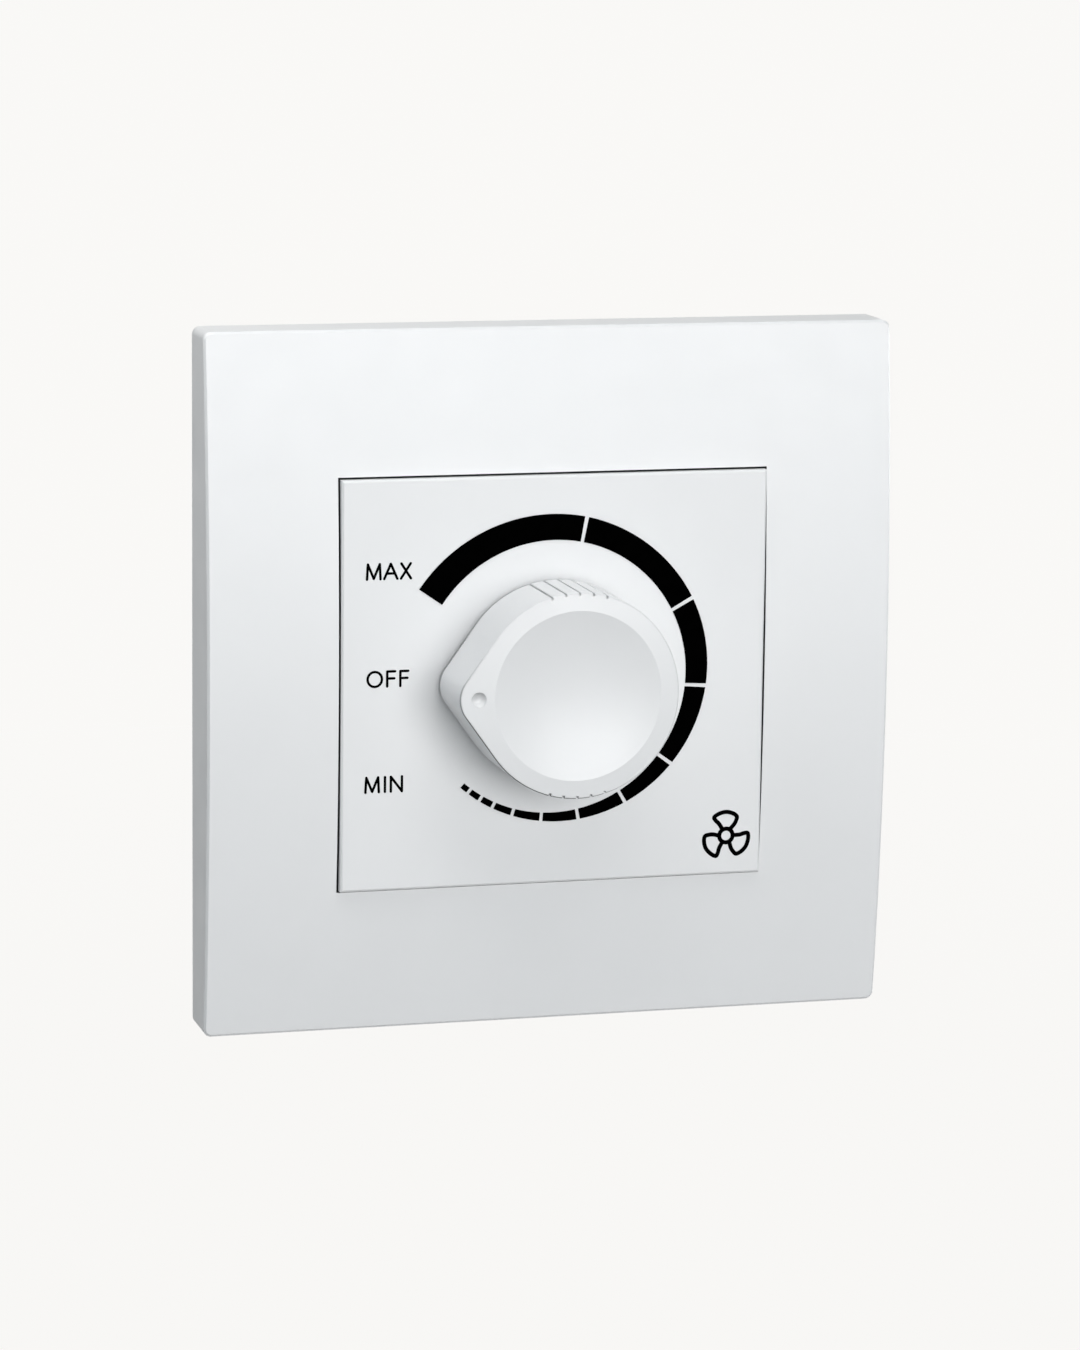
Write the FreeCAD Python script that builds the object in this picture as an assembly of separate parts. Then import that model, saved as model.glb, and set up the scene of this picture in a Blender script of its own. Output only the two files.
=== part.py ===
import FreeCAD, Part
import math
import os

from FreeCAD import Vector

# Rotary fan speed switch for a single wall box, in millimetres.
# The wall is the plane y = 0, the room lies towards -y, x runs right and z runs up.
# The origin is midway between the two fixing slots, on the wall, and the knob turns about the y axis.

# How far a cutting body passes the face it cuts, and how far joined bodies run into each other
overcut = 1.0
overlap = 0.5

# Surround
plate_width = 87.0
plate_height = 87.0
plate_edge_depth = 6.8
plate_crown = 2.46
plate_corner_radius = 1.0
plate_edge_bevel = 0.3
plate_wall = 1.8
collar_wall = 1.5
collar_gap = 0.2
hook_width = 6.0
hook_thickness = 1.4
hook_barb = 0.9
hook_barb_height = 1.2
hook_spread = 44.0
hook_clearance = 0.4
hook_play = 0.1
stop_thickness = 1.2
stop_length = 8.0
pry_notch_width = 7.0
pry_notch_depth = 1.1

# Fixing slots
fixing_centres = 60.3
fixing_slot_width = 3.8
fixing_slot_length = 6.0
fixing_boss_margin = 1.5
fixing_head_radius = 3.6
fixing_head_height = 2.4

# Dial panel
panel_width = 53.95
panel_height = 50.95
panel_face = 9.5
panel_thickness = 2.0
panel_gap = 0.25
panel_edge_bevel = 0.25
skirt_wall = 1.5
skirt_depth = 5.5
shaft_hole_clearance = 0.5
catch_spread = 28.0
catch_width = 6.0
catch_height = 1.2
catch_reach = 0.9
catch_from_back = 0.5

# Printed speed band, angles counted anticlockwise from the right as seen from the room
print_thickness = 0.1
band_start = 145.5
band_gap = 1.46
band_spans = [65.5, 48.7, 31.6, 30.8, 21.9, 18.6, 14.1, 11.0, 7.5, 4.8, 4.4, 3.0]
band_arc_change = 30.0
band_inner_x = -0.23
band_inner_z = 0.45
band_inner_radius = 17.07
band_above_x = -0.51
band_above_z = 0.37
band_above_radius = 20.37
band_below_x = 0.68
band_below_z = 1.18
band_below_radius = 18.93

# Knob
knob_radius = 12.7
knob_tip_radius = 3.6
knob_tip_offset = 11.2
knob_gap = 0.6
knob_height = 10.1
knob_edge_bevel = 0.15
knob_wall = 1.5
knob_front_wall = 1.6
dish_radius = 10.45
dish_depth = 1.5
dimple_radius = 0.95
dimple_depth = 0.45
dimple_from_tip = 2.35
groove_count = 5
groove_pitch = 8.0
groove_width = 0.3
groove_depth = 0.35
boss_radius = 5.2
boss_recess = 0.3
knob_rib = 1.2
knob_bore_clearance = 0.03
spring_thickness = 0.35
spring_width = 3.6
spring_bow = 0.3
spring_clearance = 0.05

# Grid
grid_clearance = 1.0
grid_web = 2.0
grid_rim = 1.6
grid_stand_off = 1.6
grid_corner_radius = 3.0
tower_clearance = 0.2
tower_wall = 1.6
ledge_width = 2.4

# Heat sink and its screws
sink_thickness = 1.5
sink_clearance = 0.25
screw_radius = 1.25
screw_head_radius = 2.3
screw_head_height = 1.5
screw_length = 10.0
screw_clearance = 0.2
screw_slot_width = 0.7
screw_slot_depth = 0.8

# Rear housing
housing_inset = 0.15
housing_depth = 28.0
housing_wall = 2.0
housing_corner_radius = 3.0
post_reach = 2.8
post_inset = 3.0
board_rib = 1.5
board_rib_reach = 2.5
board_rib_spread = 18.0
vent_count = 5
vent_width = 1.6
vent_pitch = 4.4
vent_length = 10.0
vent_from_rear = 6.0

# Potentiometer
nut_thickness = 2.4
nut_across_flats = 11.0
nut_gap = 0.2
bushing_radius = 4.5
shaft_radius = 3.0
shaft_flat = 1.5
shaft_in_knob = 7.8
shaft_end_gap = 0.2
shaft_running_clearance = 0.05
shaft_flange_radius = 4.0
shaft_flange_thickness = 0.8
tail_width = 3.0
case_width = 16.0
case_wall = 1.0
case_play = 0.1
key_width = 2.4
key_thickness = 1.2
key_inset = 0.2
rotor_hub_radius = 3.4
rotor_clearance = 0.5
rotor_thickness = 1.6
stop_reach = 4.8
stop_half_angle = 10.0
turn_range = 312.0
wiper_thickness = 0.3
wiper_gap = 0.9
wiper_inset = 0.9
wiper_width = 1.6
wiper_tip = 0.8
wiper_seat_margin = 1.0
wiper_tip_gap = 0.05
wafer_thickness = 1.0
wafer_tongue_width = 10.0
lug_block_gap = 0.95
lug_count = 3
lug_pitch = 3.5
lug_width = 1.0
lug_thickness = 0.4

# Switch on the shaft tail
switch_depth = 4.6
switch_wall = 1.0
cam_radius = 3.0
cam_lobe_reach = 4.2
cam_lobe_width = 1.2
cam_thickness = 2.0
cam_gap = 0.6
leaf_thickness = 0.3
leaf_width = 2.0
leaf_clearance = 0.05
leaf_foot_gap = 1.4
leaf_top_gap = 1.8
contact_opening = 0.65
contact_from_wall = 2.4
contact_thickness = 0.4
contact_button_radius = 0.8
contact_button = 0.3

# Circuit board
board_thickness = 1.6
board_clearance = 1.5
board_gap = 1.0
lead_width = 0.5
lead_stub = 0.8
box_standoff = 0.3
box_bevel = 0.5
pin_width = 0.8
pin_clearance = 0.1

# Triac
pad_thickness = 0.2
triac_x = 15.0
triac_z = 0.9
triac_width = 10.0
triac_tab_thickness = 1.3
triac_tab_height = 6.4
triac_body_height = 9.0
triac_body_thickness = 4.5
triac_lead_pitch = 2.54
triac_lead_thickness = 0.5
triac_lead_drop = 2.2
triac_lead_depth = 2.7
triac_screw_radius = 1.5
triac_head_radius = 2.8
triac_head_height = 1.9

# Parts on the board
choke_x = -14.0
choke_z = 0.0
choke_core_radius = 2.5
choke_core_length = 18.0
choke_winding_radius = 5.0
choke_winding_length = 14.0
cap_x = 4.5
cap_z = 14.0
cap_width = 18.0
cap_depth = 6.0
cap_height = 11.5
cap_lead_pitch = 15.0
timer_x = -14.5
timer_z = 4.0
timer_width = 7.2
timer_depth = 2.6
timer_height = 4.6
timer_lead_pitch = 5.0
resistor_x = -14.5
resistor_z = -4.0
resistor_pitch = 4.0
resistor_count = 2
resistor_radius = 1.2
resistor_length = 6.2
axial_pitch = 10.0
diac_z = 9.0
diac_radius = 0.95
diac_length = 3.8
axial_clearance = 0.3
fuse_x = 13.0
fuse_z = -1.0
fuse_width = 8.4
fuse_depth = 4.0
fuse_height = 7.6
fuse_lead_pitch = 5.1

# Terminals
terminal_pitch = 8.1
cage_width = 5.8
cage_length = 5.6
cage_wall = 0.9
cage_nut_wall = 1.3
cage_clearance = 0.15
conductor_gap = 3.2
bar_thickness = 1.0
bar_width = 3.2
bar_tail_gap = 0.6
clamp_screw_radius = 1.75
clamp_head_radius = 2.3
clamp_head_height = 2.0
cage_head_gap = 2.4
clamp_play = 0.05
clamp_slot_width = 0.7
clamp_slot_depth = 0.9
thread_pitch = 0.6
clamp_turns = 4.0
block_wall = 1.9
block_recess = 0.2
screw_recess = 0.8
block_clearance = 0.3

# Places that follow from the sizes above
panel_front_y = -panel_face
panel_back_y = panel_front_y + panel_thickness
skirt_back_y = panel_front_y + skirt_depth
window_width = panel_width + 2 * panel_gap
window_height = panel_height + 2 * panel_gap
front_radius = ((plate_height / 2) ** 2 + plate_crown ** 2) / (2 * plate_crown)
front_axis_y = front_radius - plate_edge_depth - plate_crown

web_back_y = -grid_stand_off
web_front_y = web_back_y - grid_web
grid_width = plate_width - 2 * (plate_wall + grid_clearance)
grid_height = plate_height - 2 * (plate_wall + grid_clearance)
tower_width = panel_width - 2 * (skirt_wall + tower_clearance)
tower_height = panel_height - 2 * (skirt_wall + tower_clearance)
tower_front_y = panel_back_y + tower_clearance
inner_width = tower_width - 2 * tower_wall
inner_height = tower_height - 2 * tower_wall
opening_width = inner_width - 2 * ledge_width
opening_height = inner_height - 2 * ledge_width
collar_back_y = web_front_y - fixing_head_height - collar_gap
catch_back_y = skirt_back_y - catch_from_back
catch_front_y = catch_back_y - catch_height

nut_front_y = panel_back_y + nut_gap
sink_front_y = nut_front_y + nut_thickness
sink_back_y = sink_front_y + sink_thickness
flange_front_y = sink_back_y + case_wall + case_play
rotor_front_y = flange_front_y + shaft_flange_thickness
rotor_back_y = rotor_front_y + rotor_thickness
wiper_back_y = rotor_back_y + wiper_thickness
wafer_front_y = wiper_back_y + wiper_gap
wafer_back_y = wafer_front_y + wafer_thickness
cam_front_y = wafer_back_y + cam_gap
cam_back_y = cam_front_y + cam_thickness
switch_back_y = wafer_back_y + switch_depth
board_front_y = switch_back_y + board_gap
board_back_y = board_front_y + board_thickness

case_inner = case_width / 2 - case_wall
key_z = case_width / 2 - key_inset - key_thickness / 2
rotor_reach = case_inner - rotor_clearance
wiper_reach = rotor_reach - wiper_inset
switch_inner = case_width / 2 - switch_wall
leaf_foot = switch_inner - leaf_foot_gap
leaf_top = switch_inner - leaf_top_gap
contact_height = switch_inner - contact_from_wall

knob_base_y = panel_front_y - knob_gap
knob_front_y = knob_base_y - knob_height
knob_ceiling_y = knob_front_y + dish_depth + knob_front_wall
shaft_front_y = knob_ceiling_y + shaft_end_gap
flat_back_y = shaft_front_y + shaft_in_knob
boss_back_y = knob_base_y - boss_recess

housing_width = tower_width - 2 * housing_inset
housing_height = tower_height - 2 * housing_inset
housing_rear_y = housing_depth
cavity_width = housing_width - 2 * housing_wall
cavity_height = housing_height - 2 * housing_wall
cavity_rear_y = housing_rear_y - housing_wall
post_x = cavity_width / 2 - post_inset
post_z = cavity_height / 2 - post_inset
board_width = cavity_width - 2 * board_clearance
board_height = cavity_height - 2 * board_clearance

block_rear_y = housing_rear_y - block_recess
head_top_y = block_rear_y - screw_recess
head_base_y = head_top_y - clamp_head_height
clamp_travel = thread_pitch * clamp_turns
tip_y = head_base_y - block_clearance - cage_nut_wall - clamp_travel - cage_head_gap
bar_rear_y = tip_y - clamp_play
bar_front_y = bar_rear_y - bar_thickness
cage_front_y = bar_front_y - conductor_gap - cage_wall
cage_nut_y = bar_rear_y + block_clearance
wire_y = bar_front_y - conductor_gap / 2
shaft_half_width = cage_width / 2 + cage_clearance
block_width = terminal_pitch + 2 * (shaft_half_width + block_wall)
block_bottom_z = -housing_height / 2 + block_recess
shaft_bottom_z = block_bottom_z + block_wall
cage_bottom_z = shaft_bottom_z + cage_clearance
cage_top_z = cage_bottom_z + cage_length
bar_tail_z = cage_top_z + bar_tail_gap
shaft_top_z = bar_tail_z + bar_thickness + cage_clearance
block_top_z = shaft_top_z + block_wall
screw_z = (cage_bottom_z + cage_top_z) / 2
wafer_tongue_reach = -(block_top_z + lug_block_gap)


def arc(centre_x, centre_z, radius, start, end, y):
    """Arc facing the room, angles in degrees anticlockwise from +x."""
    angles = [math.radians(a) for a in (start, (start + end) / 2, end)]
    points = [Vector(centre_x + radius * math.cos(a), y, centre_z + radius * math.sin(a)) for a in angles]
    return Part.Arc(*points).toShape()


def closed_outline(arcs):
    """Join arcs, in order, with straight edges into one closed wire."""
    edges = []
    for this, following in zip(arcs, arcs[1:] + arcs[:1]):
        edges.append(this)
        start = this.lastVertex(True).Point
        end = following.firstVertex(True).Point
        if start.distanceToPoint(end) > 1e-6:
            edges.append(Part.makeLine(start, end))
    return Part.Wire(edges)


def plate(width, height, radius, y_front, y_back, x=0.0, z=0.0):
    """Plate parallel to the wall with rounded corners."""
    across = width / 2 - radius
    up = height / 2 - radius
    corners = [
        arc(x + across, z + up, radius, 0, 90, y_front),
        arc(x - across, z + up, radius, 90, 180, y_front),
        arc(x - across, z - up, radius, 180, 270, y_front),
        arc(x + across, z - up, radius, 270, 360, y_front),
    ]
    return Part.Face(closed_outline(corners)).extrude(Vector(0, y_back - y_front, 0))


def block(x_range, y_range, z_range):
    """Rectangular block between pairs of limits."""
    corner = Vector(x_range[0], y_range[0], z_range[0])
    size = [high - low for low, high in (x_range, y_range, z_range)]
    return Part.makeBox(*size, corner)


def centred(middle, width):
    """Limits of a stretch centred on a value."""
    return (middle - width / 2, middle + width / 2)


def rod(radius, y_front, y_back, x=0.0, z=0.0):
    """Round bar square to the wall."""
    return Part.makeCylinder(radius, y_back - y_front, Vector(x, y_front, z), Vector(0, 1, 0))


def rod_across(radius, x_range, y, z):
    """Round bar that lies from left to right."""
    return Part.makeCylinder(radius, x_range[1] - x_range[0], Vector(x_range[0], y, z), Vector(1, 0, 0))


def turn(shape, degrees, x=0.0, z=0.0):
    """Copy turned clockwise, as seen from the room, about a line square to the wall."""
    copy = shape.copy()
    copy.rotate(Vector(x, 0, z), Vector(0, 1, 0), degrees)
    return copy


def mirrored(shapes):
    """The shapes and their mirror images in the plane x = 0."""
    return shapes + [shape.mirror(Vector(0, 0, 0), Vector(1, 0, 0)) for shape in shapes]


def four_ways(shape):
    """The shape and its mirror images in the planes x = 0 and z = 0."""
    return mirrored([shape, shape.mirror(Vector(0, 0, 0), Vector(0, 0, 1))])


def joined(shapes):
    """One clean solid from overlapping or touching solids."""
    return shapes[0].multiFuse(shapes[1:]).removeSplitter()


def edges_at(shape, y):
    """Edges that lie in one plane parallel to the wall."""
    found = []
    for edge in shape.Edges:
        box = edge.BoundBox
        if abs(box.YMin - y) < 1e-4 and abs(box.YMax - y) < 1e-4:
            found.append(edge)
    return found


def crowned(width, height, wall, y_back):
    """Block with a front that bulges from bottom to top, one wall inside the surround's front."""
    half = height / 2
    reach = front_radius - wall
    edge_y = front_axis_y - math.sqrt(reach ** 2 - half ** 2)
    left = -width / 2
    low = Vector(left, edge_y, -half)
    high = Vector(left, edge_y, half)
    crown = Part.Arc(low, Vector(left, front_axis_y - reach, 0), high).toShape()
    back = [Vector(left, y_back, half), Vector(left, y_back, -half)]
    wire = Part.Wire([crown, Part.makeLine(high, back[0]), Part.makeLine(back[0], back[1]),
                      Part.makeLine(back[1], low)])
    return Part.Face(wire).extrude(Vector(width, 0, 0))


def hook_place():
    """Height of the hooks, midway between the collar and the top wall."""
    collar_top = window_height / 2 + collar_wall
    return (collar_top + plate_height / 2 - plate_wall) / 2


def stop_place():
    """Distance of the stop ribs from the middle, midway between the collar and the side wall."""
    collar_side = window_width / 2 + collar_wall
    return (collar_side + plate_width / 2 - plate_wall) / 2


def surround_hook():
    """Snap hook at the upper right: an arm with a barb that grips behind the grid's web."""
    middle = hook_place()
    root_y = -plate_edge_depth
    catch_y = web_back_y + hook_play
    tip_y = catch_y + hook_barb_height
    inner = middle - hook_thickness / 2
    outer = middle + hook_thickness / 2
    side = [(root_y, inner), (tip_y, inner), (tip_y, outer), (catch_y, outer + hook_barb),
            (catch_y, outer), (root_y, outer)]
    left = hook_spread / 2 - hook_width / 2
    points = [Vector(left, y, z) for y, z in side]
    arm = Part.Face(Part.makePolygon(points + points[:1]))
    return arm.extrude(Vector(hook_width, 0, 0))


def surround_frame():
    """Hollow crowned cover with a collar round its window, hooks, stop ribs and a pry notch."""
    outer = crowned(plate_width, plate_height, 0.0, 0.0)
    outer = outer.common(plate(plate_width, plate_height, plate_corner_radius, -2 * panel_face, 0.0))
    front = max(outer.Faces, key=lambda face: -face.CenterOfMass.y)
    outer = outer.makeChamfer(plate_edge_bevel, front.OuterWire.Edges)
    hollow = crowned(plate_width - 2 * plate_wall, plate_height - 2 * plate_wall, plate_wall, 0.0)
    shell = outer.cut(hollow)

    solid_inside = crowned(plate_width - plate_wall, plate_height - plate_wall, plate_wall / 2, 0.0)
    collar = block(centred(0, window_width + 2 * collar_wall), (-2 * panel_face, collar_back_y),
                   centred(0, window_height + 2 * collar_wall))
    stop = block(centred(stop_place(), stop_length), (-2 * panel_face, web_front_y),
                 centred(hook_place() - stop_length, stop_thickness))
    added = joined([collar] + four_ways(stop)).common(solid_inside)
    body = joined([shell, added] + four_ways(surround_hook()))
    window = block(centred(0, window_width), (-2 * panel_face, 0.0), centred(0, window_height))
    notch = block(centred(0, pry_notch_width), (-pry_notch_depth, 0.0),
                  (-plate_height / 2, plate_wall - plate_height / 2))
    return body.cut(window).cut(notch)


def fixing_slot(y_front, y_back, x):
    """Round-ended slot that a fixing screw passes through."""
    radius = fixing_slot_width / 2
    across = fixing_slot_length / 2 - radius
    ends = [arc(x + across, 0, radius, -90, 90, y_front), arc(x - across, 0, radius, 90, 270, y_front)]
    return Part.Face(closed_outline(ends)).extrude(Vector(0, y_back - y_front, 0))


def hook_slot():
    """Slot in the grid's web for the upper right hook, with room inside for the arm to bend."""
    bend_room = hook_thickness / 2 + hook_barb + hook_play
    return block(centred(hook_spread / 2, hook_width + 2 * hook_clearance), (web_front_y - overcut, 0.0),
                 (hook_place() - bend_room, hook_place() + hook_thickness / 2 + hook_play))


def catch_slot():
    """Slot through the tower of the grid for the panel's upper right catch."""
    return block(centred(catch_spread / 2, catch_width + 2 * tower_clearance),
                 (catch_front_y - tower_clearance, catch_back_y + tower_clearance),
                 (inner_height / 2 - overcut, tower_height / 2 + overcut))


def mounting_grid():
    """Grid that screws to the wall box and carries the panel, the heat sink and the surround."""
    web = plate(grid_width, grid_height, grid_corner_radius, web_front_y, web_back_y)
    rim = plate(grid_width, grid_height, grid_corner_radius, web_front_y, 0.0)
    rim = rim.cut(block(centred(0, grid_width - 2 * grid_rim), (web_front_y, 0.0),
                        centred(0, grid_height - 2 * grid_rim)))
    tower = block(centred(0, tower_width), (tower_front_y, web_back_y), centred(0, tower_height))
    boss_length = fixing_slot_length + 2 * fixing_boss_margin
    boss_width = fixing_slot_width + 2 * fixing_boss_margin
    boss = block(centred(fixing_centres / 2, boss_length), (web_front_y, 0.0), centred(0, boss_width))
    boss = boss.cut(block(centred(0, housing_width + 2 * tower_clearance), (web_back_y, 0.0),
                          centred(0, housing_height)))
    body = joined([web, rim, tower] + mirrored([boss]))

    well = block(centred(0, inner_width), (tower_front_y, sink_back_y), centred(0, inner_height))
    gusset = block((post_x - post_reach, inner_width / 2), (sink_back_y, web_back_y),
                   (-inner_height / 2, post_reach - post_z))
    opening = block(centred(0, opening_width), (sink_back_y, web_back_y), centred(0, opening_height))
    opening = opening.cut(two_corners(gusset))
    screw_hole = rod(screw_radius + screw_clearance, sink_back_y, web_back_y, post_x, -post_z)
    slots = mirrored([fixing_slot(web_front_y, 0.0, fixing_centres / 2)])
    slots += two_corners(screw_hole) + four_ways(hook_slot()) + four_ways(catch_slot())
    return body.cut([well, opening] + slots)


def dial_panel():
    """Flat face with a skirt that clips over the grid's tower, each catch steep towards the room."""
    face = block(centred(0, panel_width), (panel_front_y, skirt_back_y), centred(0, panel_height))
    face = face.makeChamfer(panel_edge_bevel, edges_at(face, panel_front_y))
    face = face.cut(block(centred(0, panel_width - 2 * skirt_wall), (panel_back_y, skirt_back_y),
                          centred(0, panel_height - 2 * skirt_wall)))
    top = panel_height / 2 - skirt_wall
    side = [(catch_front_y, top), (catch_front_y, top - catch_reach), (catch_back_y, top)]
    points = [Vector(catch_spread / 2 - catch_width / 2, y, z) for y, z in side]
    catch = Part.Face(Part.makePolygon(points + points[:1])).extrude(Vector(catch_width, 0, 0))
    shaft_hole = rod(shaft_radius + shaft_hole_clearance, panel_front_y, panel_back_y)
    screw_room = mirrored([rod(fixing_head_radius, web_front_y - fixing_head_height, skirt_back_y,
                               fixing_centres / 2)])
    return joined([face] + four_ways(catch)).cut([shaft_hole] + screw_room)


def band_edge(circle, angle):
    """Point of an offset circle that lies at an angle from the knob's axis."""
    x, z, radius = circle
    across = x * math.cos(math.radians(angle)) + z * math.sin(math.radians(angle))
    reach = across + math.sqrt(radius ** 2 - x ** 2 - z ** 2 + across ** 2)
    return Vector(reach * math.cos(math.radians(angle)), panel_front_y, reach * math.sin(math.radians(angle)))


def band_segment(start, span):
    """One printed segment, running clockwise from its start angle."""
    middle = start - span / 2
    end = start - span
    outer = (band_below_x, band_below_z, band_below_radius)
    if middle > band_arc_change:
        outer = (band_above_x, band_above_z, band_above_radius)
    inner = (band_inner_x, band_inner_z, band_inner_radius)
    outer_points = [band_edge(outer, angle) for angle in (start, middle, end)]
    inner_points = [band_edge(inner, angle) for angle in (end, middle, start)]
    edges = [
        Part.Arc(*outer_points).toShape(),
        Part.makeLine(outer_points[2], inner_points[0]),
        Part.Arc(*inner_points).toShape(),
        Part.makeLine(inner_points[2], outer_points[0]),
    ]
    return Part.Face(Part.Wire(edges)).extrude(Vector(0, -print_thickness, 0))


def scale_print():
    """Printed speed band: segments that shorten and narrow from the fast end to the slow end."""
    segments = []
    start = band_start
    for span in band_spans:
        segments.append(band_segment(start, span))
        start -= span + band_gap
    return Part.makeCompound(segments)


def knob_outline(shrink, y):
    """Pear-shaped outline: a large round and a small tip round on its left, joined by flats."""
    radius = knob_radius - shrink
    tip = knob_tip_radius - shrink
    lean = math.degrees(math.acos((knob_radius - knob_tip_radius) / knob_tip_offset))
    body = arc(0, 0, radius, lean - 180, 180 - lean, y)
    nose = arc(-knob_tip_offset, 0, tip, 180 - lean, 180 + lean, y)
    return closed_outline([body, nose])


def spherical_cut(mouth_radius, depth, mouth_y, x=0.0):
    """Ball that leaves a round hollow of the given depth in the knob's front."""
    radius = (mouth_radius ** 2 + depth ** 2) / (2 * depth)
    return Part.makeSphere(radius, Vector(x, mouth_y + depth - radius, 0))


def grip_grooves():
    """Thin grooves along the side wall, above and below the axis."""
    first = -(groove_count - 1) / 2
    cutter = block(centred(0, groove_width), (knob_front_y - overcut, knob_base_y + overcut),
                   (knob_radius - groove_depth, knob_radius + overcut))
    angles = [(first + index) * groove_pitch for index in range(groove_count)]
    return [turn(cutter, side + angle) for side in (0, 180) for angle in angles]


def shaft_bore():
    """Bore for the flatted shaft, with a flat pocket beside the flat for the leaf spring."""
    radius = shaft_radius + knob_bore_clearance
    bore = rod(radius, knob_ceiling_y, boss_back_y)
    flat = shaft_radius - shaft_flat + knob_bore_clearance
    bore = bore.cut(block((flat, radius + overcut), (knob_ceiling_y, boss_back_y), centred(0, 2 * radius)))
    pocket_depth = spring_thickness + spring_bow + 2 * spring_clearance
    pocket = block((0, flat + pocket_depth), (knob_ceiling_y, boss_back_y),
                   centred(0, spring_width + 2 * spring_clearance))
    return bore.fuse(pocket)


def knob():
    """Hollow pointer knob with a dished front, a dimple at the tip and a ribbed boss."""
    height = Vector(0, knob_front_y - knob_base_y, 0)
    body = Part.Face(knob_outline(0.0, knob_base_y)).extrude(height)
    body = body.makeChamfer(knob_edge_bevel, edges_at(body, knob_front_y))
    inside = Part.Face(knob_outline(knob_wall, knob_base_y))
    inside = inside.extrude(Vector(0, knob_ceiling_y - knob_base_y, 0))
    ribs = [block((-knob_tip_offset, 0), (knob_ceiling_y, boss_back_y), centred(0, knob_rib))]
    ribs += [turn(block((0, knob_radius), (knob_ceiling_y, boss_back_y), centred(0, knob_rib)), angle)
             for angle in (-60, 60)]
    ribs = [rib.common(inside) for rib in ribs]
    body = joined([body.cut(inside), rod(boss_radius, knob_ceiling_y - overlap, boss_back_y)] + ribs)
    dimple_x = -knob_tip_offset - knob_tip_radius + dimple_from_tip
    cuts = [
        spherical_cut(dish_radius, dish_depth, knob_front_y),
        spherical_cut(dimple_radius, dimple_depth, knob_front_y, dimple_x),
        shaft_bore(),
    ]
    return body.cut(cuts + grip_grooves())


def knob_spring():
    """Bowed leaf that presses on the shaft's flat and grips it in the knob."""
    flat = shaft_radius - shaft_flat + knob_bore_clearance
    front_y = shaft_front_y + spring_clearance
    back_y = boss_back_y - spring_clearance
    middle_y = (front_y + back_y) / 2
    far = flat + spring_clearance + spring_bow
    low = -spring_width / 2
    inner = Part.Arc(Vector(far, front_y, low), Vector(far - spring_bow, middle_y, low),
                     Vector(far, back_y, low))
    outer = Part.Arc(Vector(far + spring_thickness, back_y, low),
                     Vector(far - spring_bow + spring_thickness, middle_y, low),
                     Vector(far + spring_thickness, front_y, low))
    ends = [Part.makeLine(inner.EndPoint, outer.StartPoint), Part.makeLine(outer.EndPoint, inner.StartPoint)]
    wire = Part.Wire([inner.toShape(), ends[0], outer.toShape(), ends[1]])
    return Part.Face(wire).extrude(Vector(0, 0, spring_width))


def heat_sink():
    """Aluminium plate on the grid's ledge with holes for the bushing, key, triac and corner screws."""
    sheet = block(centred(0, inner_width - 2 * sink_clearance), (sink_front_y, sink_back_y),
                  centred(0, inner_height - 2 * sink_clearance))
    holes = two_corners(rod(screw_radius + screw_clearance, sink_front_y, sink_back_y, post_x, -post_z))
    holes.append(rod(bushing_radius, sink_front_y, sink_back_y))
    holes.append(block(centred(0, key_width + 2 * case_play), (sink_front_y, sink_back_y),
                       centred(key_z, key_thickness + 2 * case_play)))
    holes.append(rod(triac_screw_radius, sink_front_y, sink_back_y, triac_x, triac_z))
    return sheet.cut(holes)


def screw(head_radius, head_height, shank_radius, length, seat_y, x, z):
    """Cheese-head screw with a slot, its head in front of the seat and its shank behind it."""
    top_y = seat_y - head_height
    body = rod(head_radius, top_y, seat_y, x, z).fuse(rod(shank_radius, seat_y, seat_y + length, x, z))
    slot = block(centred(x, 2 * head_radius), (top_y, top_y + screw_slot_depth), centred(z, screw_slot_width))
    return body.cut(slot)


def two_corners(shape):
    """A shape made at the lower right corner and its copy at the upper left one."""
    return [shape, turn(shape, 180)]


def housing_screws():
    """Two screws, at opposite corners, that clamp heat sink, grid and rear housing together."""
    made = screw(screw_head_radius, screw_head_height, screw_radius, screw_length,
                 sink_front_y, post_x, -post_z)
    return Part.makeCompound(two_corners(made))


def corner_post(margin, y_front, y_back):
    """Square post in the lower right corner of the housing, out to the walls."""
    return block((post_x - post_reach - margin, cavity_width / 2), (y_front, y_back),
                 (-cavity_height / 2, post_reach + margin - post_z))


def rear_housing():
    """Deep box behind the grid with screw posts, ribs under the board, vents and a terminal opening."""
    body = plate(housing_width, housing_height, housing_corner_radius, web_back_y, housing_rear_y)
    cavity = block(centred(0, cavity_width), (web_back_y, cavity_rear_y), centred(0, cavity_height))
    cavity = cavity.cut(two_corners(corner_post(0, web_back_y, cavity_rear_y)))
    rib = block((cavity_width / 2 - board_rib_reach, cavity_width / 2), (board_back_y, cavity_rear_y),
                centred(board_rib_spread / 2, board_rib))
    body = body.cut(cavity.cut(four_ways(rib)))
    screw_end_y = sink_front_y + screw_length + screw_clearance
    cuts = two_corners(rod(screw_radius, web_back_y, screw_end_y, post_x, -post_z))
    first = -(vent_count - 1) / 2
    vent_y = (cavity_rear_y - vent_from_rear - vent_length, cavity_rear_y - vent_from_rear)
    for index in range(vent_count):
        place = (first + index) * vent_pitch
        cuts.append(block(centred(place, vent_width), vent_y,
                          (cavity_height / 2 - overcut, housing_height / 2 + overcut)))
    cuts.append(block(centred(0, block_width + 2 * block_clearance),
                      (board_back_y - block_clearance, housing_rear_y),
                      (-housing_height / 2, block_top_z + block_clearance)))
    return body.cut(cuts)


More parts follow.
